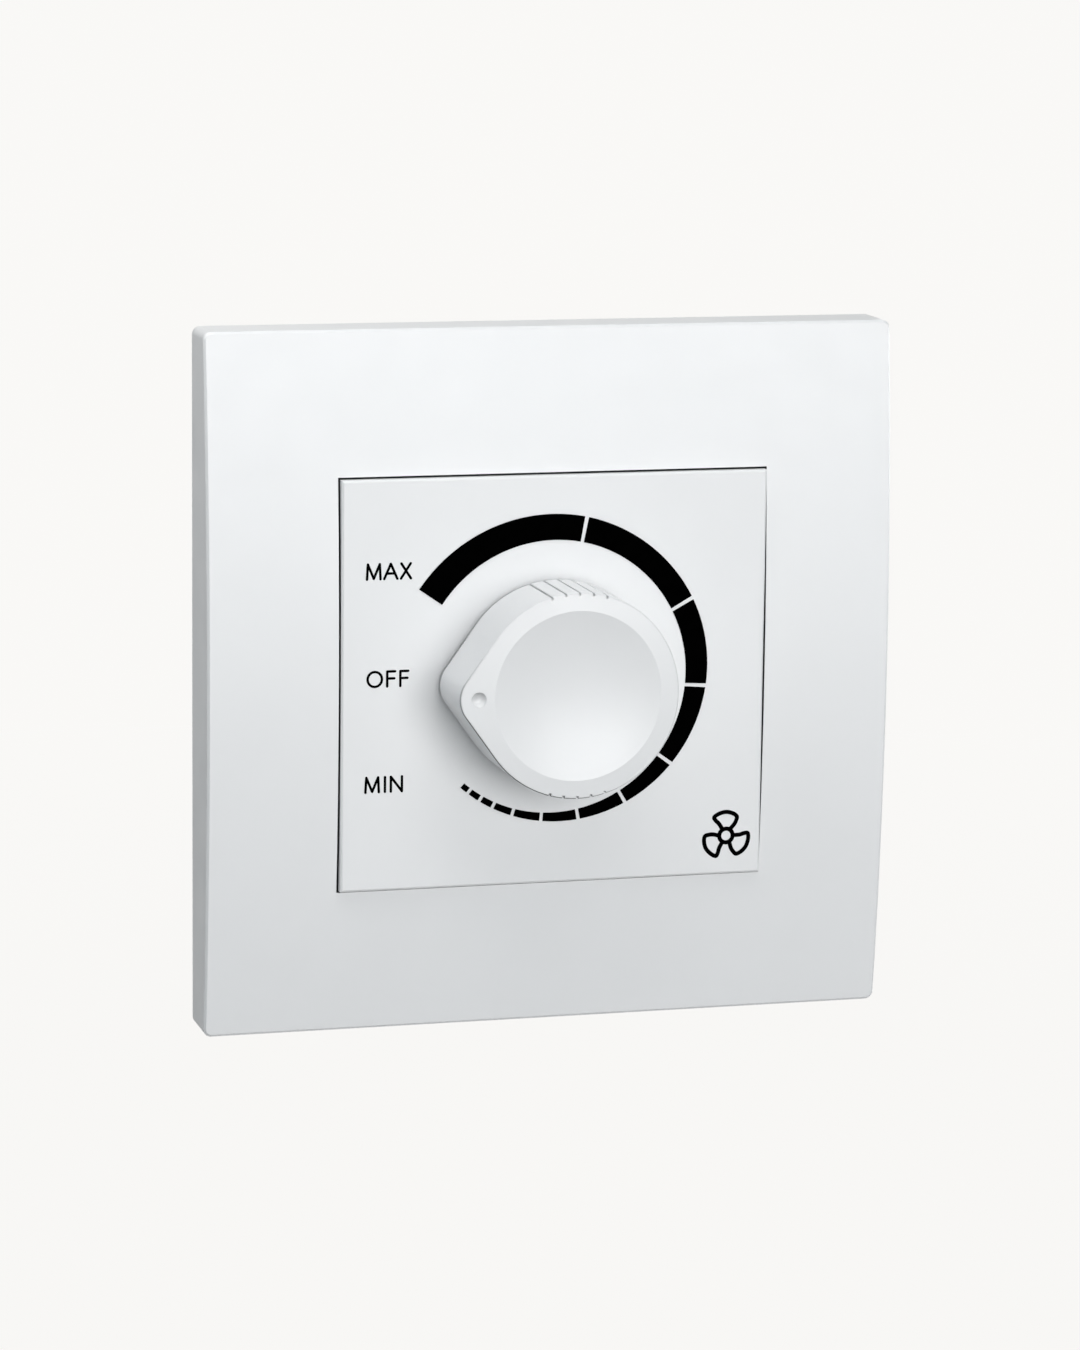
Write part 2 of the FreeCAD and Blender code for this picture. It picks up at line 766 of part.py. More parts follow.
def square_cup(front_y, back_y, wall, open_y):
    """Square box about the shaft, hollow, and open at its back or else at its front."""
    outer = block(centred(0, case_width), (front_y, back_y), centred(0, case_width))
    limits = (front_y + wall, back_y) if open_y == back_y else (front_y, back_y - wall)
    return outer.cut(block(centred(0, case_width - 2 * wall), limits, centred(0, case_width - 2 * wall)))


def tongue_gap(front_y, back_y):
    """Gap in the case's lower wall for the wafer's tongue and its lugs."""
    return block(centred(0, wafer_tongue_width + 2 * case_play), (front_y, back_y),
                 (-case_width / 2, case_wall - case_width / 2))


def pot_case():
    """Square cup with a key that stops it turning, an inner stop lug and a gap below for the wafer."""
    cup = square_cup(sink_back_y, wafer_back_y, case_wall, wafer_back_y)
    key = block(centred(0, key_width), (sink_front_y, sink_back_y), centred(key_z, key_thickness))
    stop = sector(stop_reach, case_width / 2, stop_centre(), rotor_front_y + case_play, rotor_back_y)
    hole = rod(bushing_radius, sink_back_y, sink_back_y + case_wall)
    return joined([cup, key, stop]).cut([hole, tongue_gap(wafer_front_y - case_play, wafer_back_y)])


def stop_centre():
    """Angle of the case's stop lug, midway through the part of a turn that the rotor's arm can't reach."""
    return -turn_range / 2


def sector(inner, outer, centre, y_front, y_back):
    """Piece of a ring, twice the stop's half angle wide, about an angle anticlockwise from +x."""
    start = centre - stop_half_angle
    end = centre + stop_half_angle
    wire = closed_outline([arc(0, 0, outer, start, end, y_front), arc(0, 0, inner, end, start, y_front)])
    return Part.Face(wire).extrude(Vector(0, y_back - y_front, 0))


def pot_bushing():
    """Sleeve that the shaft runs in, clamped to the heat sink by the nut."""
    back_y = sink_back_y + case_wall
    sleeve = rod(bushing_radius, nut_front_y, back_y)
    return sleeve.cut(rod(shaft_radius + shaft_running_clearance, nut_front_y, back_y))


def pot_nut():
    """Hexagon nut on the bushing."""
    corner = nut_across_flats / math.sqrt(3)
    angles = [math.radians(60 * side) for side in range(6)]
    points = [Vector(corner * math.cos(angle), nut_front_y, corner * math.sin(angle)) for angle in angles]
    hexagon = Part.Face(Part.makePolygon(points + points[:1])).extrude(Vector(0, nut_thickness, 0))
    return hexagon.cut(rod(bushing_radius, nut_front_y, sink_front_y))


def square_tail(y_front, y_back):
    """Square tail of the shaft between two depths."""
    return block(centred(0, tail_width), (y_front, y_back), centred(0, tail_width))


def pot_shaft():
    """Shaft with a flatted end for the knob, a flange in the case and a square tail for rotor and cam."""
    body = rod(shaft_radius, shaft_front_y, flange_front_y)
    flange = rod(shaft_flange_radius, flange_front_y, rotor_front_y)
    flat = block((shaft_radius - shaft_flat, shaft_radius + overcut), (shaft_front_y, flat_back_y),
                 (-shaft_radius, shaft_radius))
    return joined([body.cut(flat), flange, square_tail(rotor_front_y, cam_back_y)])


def pot_rotor():
    """Hub on the shaft's tail with an arm that meets the case's stop at both ends of the turn."""
    hub = rod(rotor_hub_radius, rotor_front_y, rotor_back_y)
    arm = sector(rotor_hub_radius - overlap, rotor_reach, 180, rotor_front_y + case_play, rotor_back_y)
    return joined([hub, arm]).cut(square_tail(rotor_front_y, rotor_back_y))


def wiper_contact():
    """Sprung strip on the rotor's arm that ends in a contact over the track."""
    seat_width = tail_width + 2 * wiper_seat_margin
    seat = block(centred(0, seat_width), (rotor_back_y, wiper_back_y), centred(0, seat_width))
    strip = block((-wiper_reach, 0), (rotor_back_y, wiper_back_y), centred(0, wiper_width))
    tip = block((-wiper_reach, wiper_tip - wiper_reach), (rotor_back_y, wafer_front_y - wiper_tip_gap),
                centred(0, wiper_tip))
    return joined([seat, strip, tip]).cut(square_tail(rotor_back_y, wiper_back_y))


def lug_place(index):
    """Place across the wafer's tongue of one of its three lugs."""
    return (index - (lug_count - 1) / 2) * lug_pitch


def track_wafer():
    """Wafer with the resistance track, and a tongue below that carries the lugs."""
    across = centred(0, 2 * case_inner)
    body = block(across, (wafer_front_y, wafer_back_y), across)
    tongue = block(centred(0, wafer_tongue_width), (wafer_front_y, wafer_back_y), (-wafer_tongue_reach, 0))
    tail_room = rod(tail_width * math.sqrt(0.5) + case_play, wafer_front_y, wafer_back_y)
    return joined([body, tongue]).cut(tail_room)


def pot_terminals():
    """Three lugs that lie on the wafer's tongue and bend back into the board."""
    lugs = []
    for index in range(lug_count):
        width = centred(lug_place(index), lug_width)
        lying = block(width, (wafer_back_y, wafer_back_y + lug_thickness),
                      (-wafer_tongue_reach, case_wall - case_width / 2))
        pin = block(width, (wafer_back_y, board_back_y + lead_stub),
                    (-wafer_tongue_reach, lug_thickness - wafer_tongue_reach))
        lugs.append(joined([lying, pin]))
    return Part.makeCompound(lugs)


def switch_base():
    """Square moulded cup behind the wafer that houses the cam and the switch contacts."""
    cup = square_cup(wafer_back_y, switch_back_y, switch_wall, wafer_back_y)
    floor = (switch_back_y - switch_wall, switch_back_y)
    leaf_hole = block((leaf_x() - pin_clearance, leaf_x() + leaf_thickness + pin_clearance), floor,
                      (-leaf_foot - pin_clearance, pin_width + pin_clearance - leaf_foot))
    fixed_hole = block(widened(fixed_contact_x()), floor, widened(fixed_contact_z()))
    lug_gap = tongue_gap(wafer_back_y, wafer_back_y + lug_thickness + case_play)
    return cup.cut([lug_gap, leaf_hole, fixed_hole])


def switch_cam():
    """Cam on the shaft's tail whose lobe holds the switch open at the off position."""
    hub = rod(cam_radius, cam_front_y, cam_back_y)
    half = cam_lobe_width / 2
    lobe = block((0, cam_lobe_reach), (cam_front_y, cam_back_y), (-half, half))
    return joined([hub, lobe]).cut(square_tail(cam_front_y, cam_back_y))


def leaf_x():
    """Place of the leaf's inner face, clear of the cam's lobe."""
    return cam_lobe_reach + leaf_clearance


def fixed_contact_x():
    """Limits across of the fixed contact's strip, one contact opening inside the leaf."""
    outer = leaf_x() - contact_button - contact_opening
    return (outer - contact_thickness, outer)


def fixed_contact_z():
    """Limits in height of the fixed contact's strip."""
    return centred(contact_height, 2 * contact_button_radius)


def switch_leaf():
    """Upright spring leaf beside the cam, with a contact button and a pin into the board."""
    x_range = (leaf_x(), leaf_x() + leaf_thickness)
    strip = block(x_range, (cam_front_y, cam_front_y + leaf_width), (-leaf_foot, leaf_top))
    pin = block(x_range, (cam_front_y, board_back_y + lead_stub), (-leaf_foot, -leaf_foot + pin_width))
    button_y = cam_front_y + leaf_width / 2
    button = Part.makeCylinder(contact_button_radius, contact_button,
                               Vector(leaf_x() - contact_button, button_y, contact_height), Vector(1, 0, 0))
    return joined([strip, pin, button])


def switch_fixed_contact():
    """Fixed contact strip that stands on the board beside the leaf's upper end."""
    return block(fixed_contact_x(), (cam_front_y, board_back_y + lead_stub), fixed_contact_z())


def widened(limits):
    """Limits of the slot that a pin of the given limits passes through."""
    return (limits[0] - pin_clearance, limits[1] + pin_clearance)


def leads(x, z, pitch, y_range, upright=False):
    """Pair of square lead wires that end at the board's face, side by side or one above the other."""
    half = pitch / 2
    places = [(x, z - half), (x, z + half)] if upright else [(x - half, z), (x + half, z)]
    return [block(centred(px, lead_width), y_range, centred(pz, lead_width)) for px, pz in places]


def circuit_board():
    """Board with corner cut-outs for the posts and slots for every pin that passes through it."""
    depth = (board_front_y, board_back_y)
    board = block(centred(0, board_width), depth, centred(0, board_height))
    cuts = two_corners(corner_post(block_clearance, board_front_y, board_back_y))
    for index in range(lug_count):
        cuts.append(block(widened(centred(lug_place(index), lug_width)), depth,
                          widened((-wafer_tongue_reach, lug_thickness - wafer_tongue_reach))))
    for side in (-1, 0, 1):
        cuts.append(block(widened(centred(triac_x + side * triac_lead_pitch, pin_width)), depth,
                          widened(centred(triac_lead_z(), triac_lead_thickness))))
    cuts.append(block(widened((leaf_x(), leaf_x() + leaf_thickness)), depth,
                      widened((-leaf_foot, pin_width - leaf_foot))))
    cuts.append(block(widened(fixed_contact_x()), depth, widened(fixed_contact_z())))
    cuts += mirrored([block(widened(centred(terminal_pitch / 2, bar_width)), depth,
                            widened((bar_tail_z, bar_tail_z + bar_thickness)))])
    return board.cut(cuts)


def triac_lead_z():
    """Height at which the triac's leads pass through the board."""
    return triac_z - triac_tab_height / 2 - triac_body_height - triac_lead_drop


def triac():
    """Power triac: metal tab with a hole, moulded body and three leads bent back to the board."""
    face_y = sink_back_y + pad_thickness
    body_top = triac_z - triac_tab_height / 2
    body_z = (body_top - triac_body_height, body_top)
    across = centred(triac_x, triac_width)
    tab = block(across, (face_y, face_y + triac_tab_thickness), (body_z[0], triac_z + triac_tab_height / 2))
    tab = tab.cut(rod(triac_screw_radius, face_y, face_y + triac_tab_thickness, triac_x, triac_z))
    body = block(across, (face_y, face_y + triac_body_thickness), body_z)
    lead_y = face_y + triac_lead_depth
    parts = [tab, body]
    for side in (-1, 0, 1):
        width = centred(triac_x + side * triac_lead_pitch, pin_width)
        low = triac_lead_z() - triac_lead_thickness / 2
        parts.append(block(width, (lead_y, lead_y + triac_lead_thickness), (low, body_z[0] + overlap)))
        parts.append(block(width, (lead_y, board_back_y + lead_stub), (low, low + triac_lead_thickness)))
    return joined(parts)


def thermal_pad():
    """Thin insulating pad between the triac and the heat sink."""
    low = triac_z - triac_tab_height / 2 - triac_body_height
    pad = block(centred(triac_x, triac_width), (sink_back_y, sink_back_y + pad_thickness),
                (low, triac_z + triac_tab_height / 2))
    return pad.cut(rod(triac_screw_radius, sink_back_y, sink_back_y + pad_thickness, triac_x, triac_z))


def triac_screw():
    """Screw through the triac's tab into the heat sink."""
    seat_y = sink_back_y + pad_thickness + triac_tab_thickness
    length = seat_y - sink_front_y
    made = screw(triac_head_radius, triac_head_height, triac_screw_radius, length, 0.0, 0.0, 0.0)
    made.rotate(Vector(0, 0, 0), Vector(0, 0, 1), 180)
    made.translate(Vector(triac_x, seat_y, triac_z))
    return made


def choke_axis_y():
    """Depth of the choke's axis, standing off the rear of the board."""
    return board_back_y + axial_clearance + choke_winding_radius


def upright_bar(radius, length):
    """Round bar along the choke's axis, which runs up and down."""
    foot = Vector(choke_x, choke_axis_y(), choke_z - length / 2)
    return Part.makeCylinder(radius, length, foot, Vector(0, 0, 1))


def choke_core():
    """Ferrite rod that the choke is wound on."""
    return upright_bar(choke_core_radius, choke_core_length)


def choke_winding():
    """Coil of enamelled wire on the rod, with its two ends down to the board."""
    coil = upright_bar(choke_winding_radius, choke_winding_length)
    coil = coil.cut(upright_bar(choke_core_radius, choke_winding_length))
    ends = leads(choke_x, choke_z, choke_winding_length - lead_width,
                 (board_back_y, choke_axis_y() - choke_core_radius - lead_width), True)
    return joined([coil] + ends)


def boxed_part(x, z, size, pitch, board_y, direction):
    """Moulded box that stands on its two leads on one side of the board."""
    width, depth, height = size
    near = board_y + direction * box_standoff
    far = near + direction * height
    body = block(centred(x, width), sorted((near, far)), centred(z, depth))
    body = body.makeChamfer(box_bevel, edges_at(body, far))
    return joined([body] + leads(x, z, pitch, sorted((board_y, near + direction * box_standoff))))


def suppression_capacitor():
    """Mains film capacitor on the rear of the board."""
    return boxed_part(cap_x, cap_z, (cap_width, cap_depth, cap_height), cap_lead_pitch, board_back_y, 1)


def timing_capacitor():
    """Small film capacitor on the front of the board."""
    return boxed_part(timer_x, timer_z, (timer_width, timer_depth, timer_height), timer_lead_pitch,
                      board_front_y, -1)


def axial_part(radius, length, z):
    """Body lying across the board's front, with leads bent back to the board."""
    centre_y = board_front_y - radius - axial_clearance
    body = rod_across(radius, centred(resistor_x, length), centre_y, z)
    wire = block(centred(resistor_x, axial_pitch + lead_width), centred(centre_y, lead_width),
                 centred(z, lead_width))
    return joined([body, wire] + leads(resistor_x, z, axial_pitch, (centre_y, board_front_y)))


def resistors():
    """Row of resistors on the front of the board."""
    places = [resistor_z - index * resistor_pitch for index in range(resistor_count)]
    return Part.makeCompound([axial_part(resistor_radius, resistor_length, z) for z in places])


def diac():
    """Trigger diode on the front of the board."""
    return axial_part(diac_radius, diac_length, diac_z)


def fuse():
    """Small moulded fuse on the rear of the board."""
    return boxed_part(fuse_x, fuse_z, (fuse_width, fuse_depth, fuse_height), fuse_lead_pitch, board_back_y, 1)


def terminal_block():
    """Moulded block for two clamps, with round wire entries below and screw holes at the rear."""
    body = block(centred(0, block_width), (board_back_y, block_rear_y), (block_bottom_z, block_top_z))
    cuts = []
    for x in (-terminal_pitch / 2, terminal_pitch / 2):
        cuts.append(block(centred(x, 2 * shaft_half_width), (board_back_y, head_base_y - block_clearance),
                          (shaft_bottom_z, shaft_top_z)))
        cuts.append(rod(clamp_head_radius + block_clearance, head_base_y - overcut, block_rear_y, x, screw_z))
        cuts.append(Part.makeCylinder(conductor_gap / 2, block_wall, Vector(x, wire_y, block_bottom_z),
                                      Vector(0, 0, 1)))
    return body.cut(cuts)


def terminal_bar(x):
    """Fixed contact bar through the cage, with a tail bent down into the board."""
    across = centred(x, bar_width)
    bar = block(across, (bar_front_y, bar_rear_y), (cage_bottom_z, bar_tail_z + bar_thickness))
    tail = block(across, (board_front_y - lead_stub, bar_rear_y), (bar_tail_z, bar_tail_z + bar_thickness))
    return joined([bar, tail])


def terminal_cage(x):
    """Rising cage: a square sleeve with a threaded rear wall, drawn up by the screw."""
    rear_y = cage_nut_y + cage_nut_wall
    depth = (cage_bottom_z, cage_top_z)
    sleeve = block(centred(x, cage_width), (cage_front_y, rear_y), depth)
    inside = block(centred(x, cage_width - 2 * cage_wall), (cage_front_y + cage_wall, cage_nut_y), depth)
    return sleeve.cut([inside, rod(clamp_screw_radius + clamp_play, cage_nut_y, rear_y, x, screw_z)])


def terminal_screw(x):
    """Clamping screw with a slotted head at the rear and its tip on the bar."""
    head = rod(clamp_head_radius, head_base_y, head_top_y, x, screw_z)
    shank = rod(clamp_screw_radius, tip_y, head_base_y, x, screw_z)
    slot = block(centred(x, 2 * clamp_head_radius), (head_top_y - clamp_slot_depth, head_top_y),
                 centred(screw_z, clamp_slot_width))
    return head.fuse(shank).cut(slot)


def save(name, shape):
    """Write one sub-part to its own file."""
    shape.exportStep("parts/" + name + ".step")


SUB_PARTS = [
    surround_frame, mounting_grid, dial_panel, scale_print, knob, knob_spring, heat_sink, housing_screws,
    rear_housing, pot_case, pot_bushing, pot_nut, pot_shaft, pot_rotor, wiper_contact,
    track_wafer, pot_terminals, switch_base, switch_cam, switch_leaf, switch_fixed_contact, circuit_board,
    triac, thermal_pad, triac_screw, choke_core, choke_winding, suppression_capacitor, timing_capacitor,
    resistors, diac, fuse, terminal_block,
]


def main():
    """Make every sub-part and write it to the parts folder."""
    os.makedirs("parts", exist_ok=True)
    for make in SUB_PARTS:
        save(make.__name__, make())
    for number, x in ((1, -terminal_pitch / 2), (2, terminal_pitch / 2)):
        save("terminal_bar_" + str(number), terminal_bar(x))
        save("terminal_cage_" + str(number), terminal_cage(x))
        save("terminal_screw_" + str(number), terminal_screw(x))


main()
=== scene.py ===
"""Looks of a rotary fan speed control: materials, printed words and symbol, light and camera."""

import math

import bmesh
import bpy
from mathutils import Matrix, Vector

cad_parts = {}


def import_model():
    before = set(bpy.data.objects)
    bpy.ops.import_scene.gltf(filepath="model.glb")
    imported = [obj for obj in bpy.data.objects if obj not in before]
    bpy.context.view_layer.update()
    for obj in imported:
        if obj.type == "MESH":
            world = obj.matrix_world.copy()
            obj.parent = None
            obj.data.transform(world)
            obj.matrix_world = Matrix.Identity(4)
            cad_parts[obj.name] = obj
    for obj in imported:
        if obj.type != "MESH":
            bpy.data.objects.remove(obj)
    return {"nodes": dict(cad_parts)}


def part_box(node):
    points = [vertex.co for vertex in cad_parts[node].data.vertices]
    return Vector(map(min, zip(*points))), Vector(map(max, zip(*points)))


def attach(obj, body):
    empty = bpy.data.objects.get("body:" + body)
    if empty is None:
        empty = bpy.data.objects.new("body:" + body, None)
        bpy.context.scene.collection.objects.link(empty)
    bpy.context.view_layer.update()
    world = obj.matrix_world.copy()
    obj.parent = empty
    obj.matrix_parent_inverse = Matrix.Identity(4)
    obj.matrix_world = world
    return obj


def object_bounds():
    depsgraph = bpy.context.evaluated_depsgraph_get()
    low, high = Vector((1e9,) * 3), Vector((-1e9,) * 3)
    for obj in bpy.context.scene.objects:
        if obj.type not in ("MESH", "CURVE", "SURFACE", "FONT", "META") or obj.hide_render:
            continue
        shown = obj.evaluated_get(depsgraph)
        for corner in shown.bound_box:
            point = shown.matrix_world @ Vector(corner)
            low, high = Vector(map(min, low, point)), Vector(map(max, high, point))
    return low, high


bl_info = {
    "name": "Fan Speed Control Looks",
    "version": (1, 0, 0),
    "blender": (4, 5, 0),
    "location": "View3D > Sidebar > Fan Control",
    "description": "Finishes, print, light and camera for a rotary fan speed control",
    "category": "Object",
}

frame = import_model()
cad_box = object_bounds()
panel_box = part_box("dial_panel")

MM = 0.001
TURN = 2 * math.pi
IMAGE_HEIGHT = 1350

# Noise scales of the mouldings' colour, sheen and grain
CLOUD_SCALE = 55.0
SHEEN_SCALE = 240.0
GRAIN_SCALE = 2600.0

# Colour of tinned leads
TIN = (0.72, 0.72, 0.70)

# The cover's front, which bulges from its upper and lower edges, and the gap round the panel, whose inside
# gets painted shade
CROWN = 2.46 * MM
HALF_PLATE = 43.5 * MM
SEAM_REACH = 0.265 * MM
SEAM_DEPTH = 0.12 * MM

# Outward slope of the knob's rim, and how much lighter its upper wall is made by painted light
RIM_SLOPE = 0.09
WALL_PAINTED_LIGHT = 1.09

# Places on the knob, as distances from its axis, its front and its base
RIM_INSET = 0.5 * MM
FRONT_SKIN = 0.02 * MM
DIMPLE_X = -12.45 * MM
DIMPLE_RADIUS = 0.93 * MM
DIMPLE_CLEAR = 1.3 * MM
LINE_MIDDLE = 0.20 * MM
LINE_HALF = 0.15 * MM
GROOVE_FROM = 12.2 * MM
GROOVE_TO = 12.6 * MM
GROOVE_BEHIND = 0.2 * MM
WALL_BEHIND = 0.3 * MM

# Steps round a printed line's end, round the letter O, round the hub and along each part of a blade
END_STEPS = 8
LETTER_STEPS = 32
HUB_STEPS = 24
BLADE_STEPS = 4


# Shader maths


class Signal:
    """A node's output socket, on which arithmetic adds Math nodes."""

    def __init__(self, sheet, socket):
        self.sheet = sheet
        self.socket = socket

    def maths(self, operation, *others):
        inputs = {index: other for index, other in enumerate((self,) + others)}
        return self.sheet.add("ShaderNodeMath", {"operation": operation}, inputs)

    def __add__(self, other):
        return self.maths("ADD", other)

    __radd__ = __add__

    def __sub__(self, other):
        return self.maths("SUBTRACT", other)

    def __rsub__(self, other):
        return self.sheet.add("ShaderNodeMath", {"operation": "SUBTRACT"}, {0: other, 1: self})

    def __mul__(self, other):
        return self.maths("MULTIPLY", other)

    __rmul__ = __mul__

    def __gt__(self, other):
        return self.maths("GREATER_THAN", other)

    def __lt__(self, other):
        return self.maths("LESS_THAN", other)

    def sine(self):
        return self.maths("SINE")

    def diagonal(self, other):
        """Distance whose two square parts are this number and another."""
        return (self * self + other * other).maths("SQRT")

    def size(self):
        return self.maths("ABSOLUTE")

    def larger(self, other):
        return self.maths("MAXIMUM", other)


class Sheet:
    """The node tree of one material, or of the world."""

    def __init__(self, name, family="materials", output="ShaderNodeOutputMaterial"):
        self.owner = getattr(bpy.data, family).new(name)
        self.owner.use_nodes = True
        self.output = output
        self.tree = self.owner.node_tree
        self.tree.nodes.clear()

    def add(self, kind, settings=None, inputs=None, output=0):
        """A node of any kind: its settings first, then the values or links of its sockets."""
        node = self.tree.nodes.new(kind)
        for key, value in (settings or {}).items():
            setattr(node, key, value)
        for key, value in (inputs or {}).items():
            if isinstance(value, Signal):
                self.tree.links.new(value.socket, node.inputs[key])
            else:
                node.inputs[key].default_value = value
        return Signal(self, node.outputs[output])

    def place(self):
        """Position in the frame at rest, in metres."""
        return self.add("ShaderNodeTexCoord", output=3)

    def split(self, vector):
        """The three parts of a vector."""
        outputs = self.add("ShaderNodeSeparateXYZ", inputs={0: vector}).socket.node.outputs
        return [Signal(self, outputs[index]) for index in range(3)]

    def stretched(self, vector, scale):
        """A position scaled along each axis."""
        return self.add("ShaderNodeVectorMath", {"operation": "MULTIPLY"}, {0: vector, 1: scale})

    def noise(self, vector, scale, detail=2.0):
        return self.add("ShaderNodeTexNoise", inputs={"Vector": vector, "Scale": scale, "Detail": detail})

    def ramp(self, value, low, high, bottom=0.0, top=1.0):
        """A value's stretch from low to high, spread from bottom to top."""
        return self.add("ShaderNodeMapRange", inputs={0: value, 1: low, 2: high, 3: bottom, 4: top})

    def spread(self, pattern, bottom=0.0, top=1.0):
        """A noise pattern, most of whose values lie near its middle, spread from bottom to top."""
        return self.ramp(pattern, 0.3, 0.7, bottom, top)

    def blend(self, factor, first, second):
        """A mix of two colours."""
        return self.add("ShaderNodeMix", {"data_type": "RGBA"}, {0: factor, 6: first, 7: second}, output=2)

    def mottled(self, pattern, colour, darkest):
        """A colour that is a little darker where a noise pattern is low."""
        return self.blend(self.spread(pattern), opaque(shade(colour, darkest)), opaque(colour))

    def painted(self, mask, tone, colour, factor):
        """A tone with a lighter or darker shade of one colour over it, where the mask says."""
        return self.blend(mask, tone, opaque(shade(colour, factor)))

    def bump(self, height, distance, strength=1.0, normal=None):
        inputs = {"Height": height, "Distance": distance, "Strength": strength}
        if normal is not None:
            inputs["Normal"] = normal
        return self.add("ShaderNodeBump", inputs=inputs)

    def soft_edges(self, radius):
        """A normal that rounds the edges over a radius."""
        return self.add("ShaderNodeBevel", {"samples": 6}, {"Radius": radius})

    def surface(self, **inputs):
        """The surface shader, with spaces in its socket names written as underscores."""
        named = {key.replace("_", " "): value for key, value in inputs.items()}
        return self.finish(self.add("ShaderNodeBsdfPrincipled", inputs=named))

    def seen_plainly(self):
        """One for rays from the camera, also by way of gloss or glass, and nought for the rest."""
        outputs = self.add("ShaderNodeLightPath").socket.node.outputs
        seen = Signal(self, outputs["Is Camera Ray"])
        for name in ("Is Glossy Ray", "Is Transmission Ray"):
            seen = seen.larger(Signal(self, outputs[name]))
        return seen

    def finish(self, shader):
        """Link a shader to the output, and give the material or world."""
        out = self.tree.nodes.new(self.output)
        self.tree.links.new(shader.socket, out.inputs["Surface"])
        return self.owner


def opaque(colour):
    """A colour with full alpha."""
    return (colour[0], colour[1], colour[2], 1.0)


def shade(colour, factor):
    """A colour made lighter or darker."""
    return tuple(channel * factor for channel in colour[:3])


# Finishes


def gap_shade_share(sheet, place, half_width, half_height, cover_front):
    """One in the gap round the panel, behind the bulging front of the cover, where painted shade goes, and
    nought elsewhere.
    """
    across, deep, up = sheet.split(place)
    bulging_front = up * up * (CROWN / HALF_PLATE ** 2) + cover_front
    inside = (across.size() < half_width) * (up.size() < half_height)
    return inside * (deep > bulging_front + SEAM_DEPTH)


def plastic(sheet, place, colour, roughness, grain, edge):
    """Tone, roughness and normal of moulded plastic: faint cloudiness, fine grain and soft edges."""
    cloud = sheet.noise(place, CLOUD_SCALE, 3.0)
    tone = sheet.blend(sheet.ramp(cloud, 0.35, 0.65), opaque(shade(colour, 0.985)), opaque(colour))
    rough = sheet.spread(sheet.noise(place, SHEEN_SCALE), roughness - 0.03, roughness + 0.03)
    normal = sheet.bump(sheet.noise(place, GRAIN_SCALE), grain, 0.6, sheet.soft_edges(edge))
    return tone, rough, normal


def moulded(name, colour, roughness, grain, edge, gap_shade=None):
    """Injection-moulded plastic, with painted shade in the gap round the panel if that gap's place is given.
    """
    sheet = Sheet(name)
    place = sheet.place()
    tone, rough, normal = plastic(sheet, place, colour, roughness, grain, edge)
    if gap_shade is not None:
        # Painted shade: the gap round the panel is darkened almost to black
        tone = sheet.painted(gap_shade_share(sheet, place, *gap_shade) * 0.95, tone, colour, 0.02)
    return sheet.surface(Base_Color=tone, Roughness=rough, Normal=normal, IOR=1.5)


def knob_moulding(name, colour, roughness, grain, edge, rim_from, front, base):
    """Moulded plastic with a sloping rim, painted light on its upper wall, and painted shade as a fine dark
    line at the front edge and in the hollows, grooves and foot.
    """
    sheet = Sheet(name)
    place = sheet.place()
    across, deep, up = sheet.split(place)
    reach = across.diagonal(up)
    from_dimple = (across - DIMPLE_X).diagonal(up)
    outer = (reach > rim_from + RIM_INSET) * (from_dimple > DIMPLE_CLEAR)
    # Painted light: the outer wall is made lighter on its upper part
    painted_light_wall = (deep > front + WALL_BEHIND) * outer * sheet.ramp(up, -3 * MM, 2 * MM)
    # Painted shade on the upper side of the dimple
    dimple_shade = (from_dimple < DIMPLE_RADIUS) * sheet.ramp(up, -0.35 * MM, 0.8 * MM)
    # Painted shade in the grooves round the wall
    groove_shade = (reach < GROOVE_TO) * (reach > GROOVE_FROM) * (deep > front + GROOVE_BEHIND) * outer
    # Painted shade at the foot of the wall, where it meets the panel
    foot = (deep > base - WALL_BEHIND) * outer
    foot = foot * sheet.ramp(up, 10 * MM, 5 * MM) * sheet.ramp(up, -5 * MM, 1 * MM)
    # Painted shade: a fine dark line along the front edge, on the lower left
    line = ((deep - (front + LINE_MIDDLE)).size() < LINE_HALF) * outer
    line = line * sheet.ramp(up, 6 * MM, -4 * MM) * sheet.ramp(across, 7 * MM, 1 * MM)
    tone, rough, normal = plastic(sheet, place, colour, roughness, grain, edge)
    for mask, factor in ((painted_light_wall, WALL_PAINTED_LIGHT), (dimple_shade * 0.9, 0.55), (groove_shade * 0.3, 0.3),
                         (foot * 0.7, 0.25), (line * 0.9, 0.08)):
        tone = sheet.painted(mask, tone, colour, factor)
    slope = (reach - rim_from).larger(0.0) * (deep < front + FRONT_SKIN) * -RIM_SLOPE
    sloped = sheet.bump(slope, 1.0, 1.0, normal)
    return sheet.surface(Base_Color=tone, Roughness=rough, Normal=sloped, IOR=1.5)


def ink(name, colour):
    """Pad-printed ink, slightly uneven in sheen."""
    sheet = Sheet(name)
    place = sheet.place()
    patch = sheet.noise(place, 900.0)
    tone = sheet.blend(sheet.spread(patch), opaque(colour), opaque(shade(colour, 1.6)))
    normal = sheet.bump(sheet.noise(place, 4000.0), 0.004 * MM, 0.5)
    return sheet.surface(Base_Color=tone, Roughness=sheet.spread(patch, 0.6, 0.75), Normal=normal,
                         Specular_IOR_Level=0.0)


def rolled(name, colour, roughness, along, edge):
    """Rolled or drawn metal with fine lines along one axis, 0, 1 or 2."""
    sheet = Sheet(name)
    place = sheet.place()
    scale = [1.0, 1.0, 1.0]
    scale[along] = 0.03
    lines = sheet.noise(sheet.stretched(place, tuple(scale)), 5200.0, 3.0)
    stain = sheet.noise(place, 160.0, 3.0)
    rough = sheet.spread(lines, roughness - 0.06, roughness + 0.08)
    normal = sheet.bump(lines, 0.002 * MM, 0.5, sheet.soft_edges(edge))
    return sheet.surface(Base_Color=sheet.mottled(stain, colour, 0.88), Metallic=1.0, Roughness=rough,
                         Normal=normal)


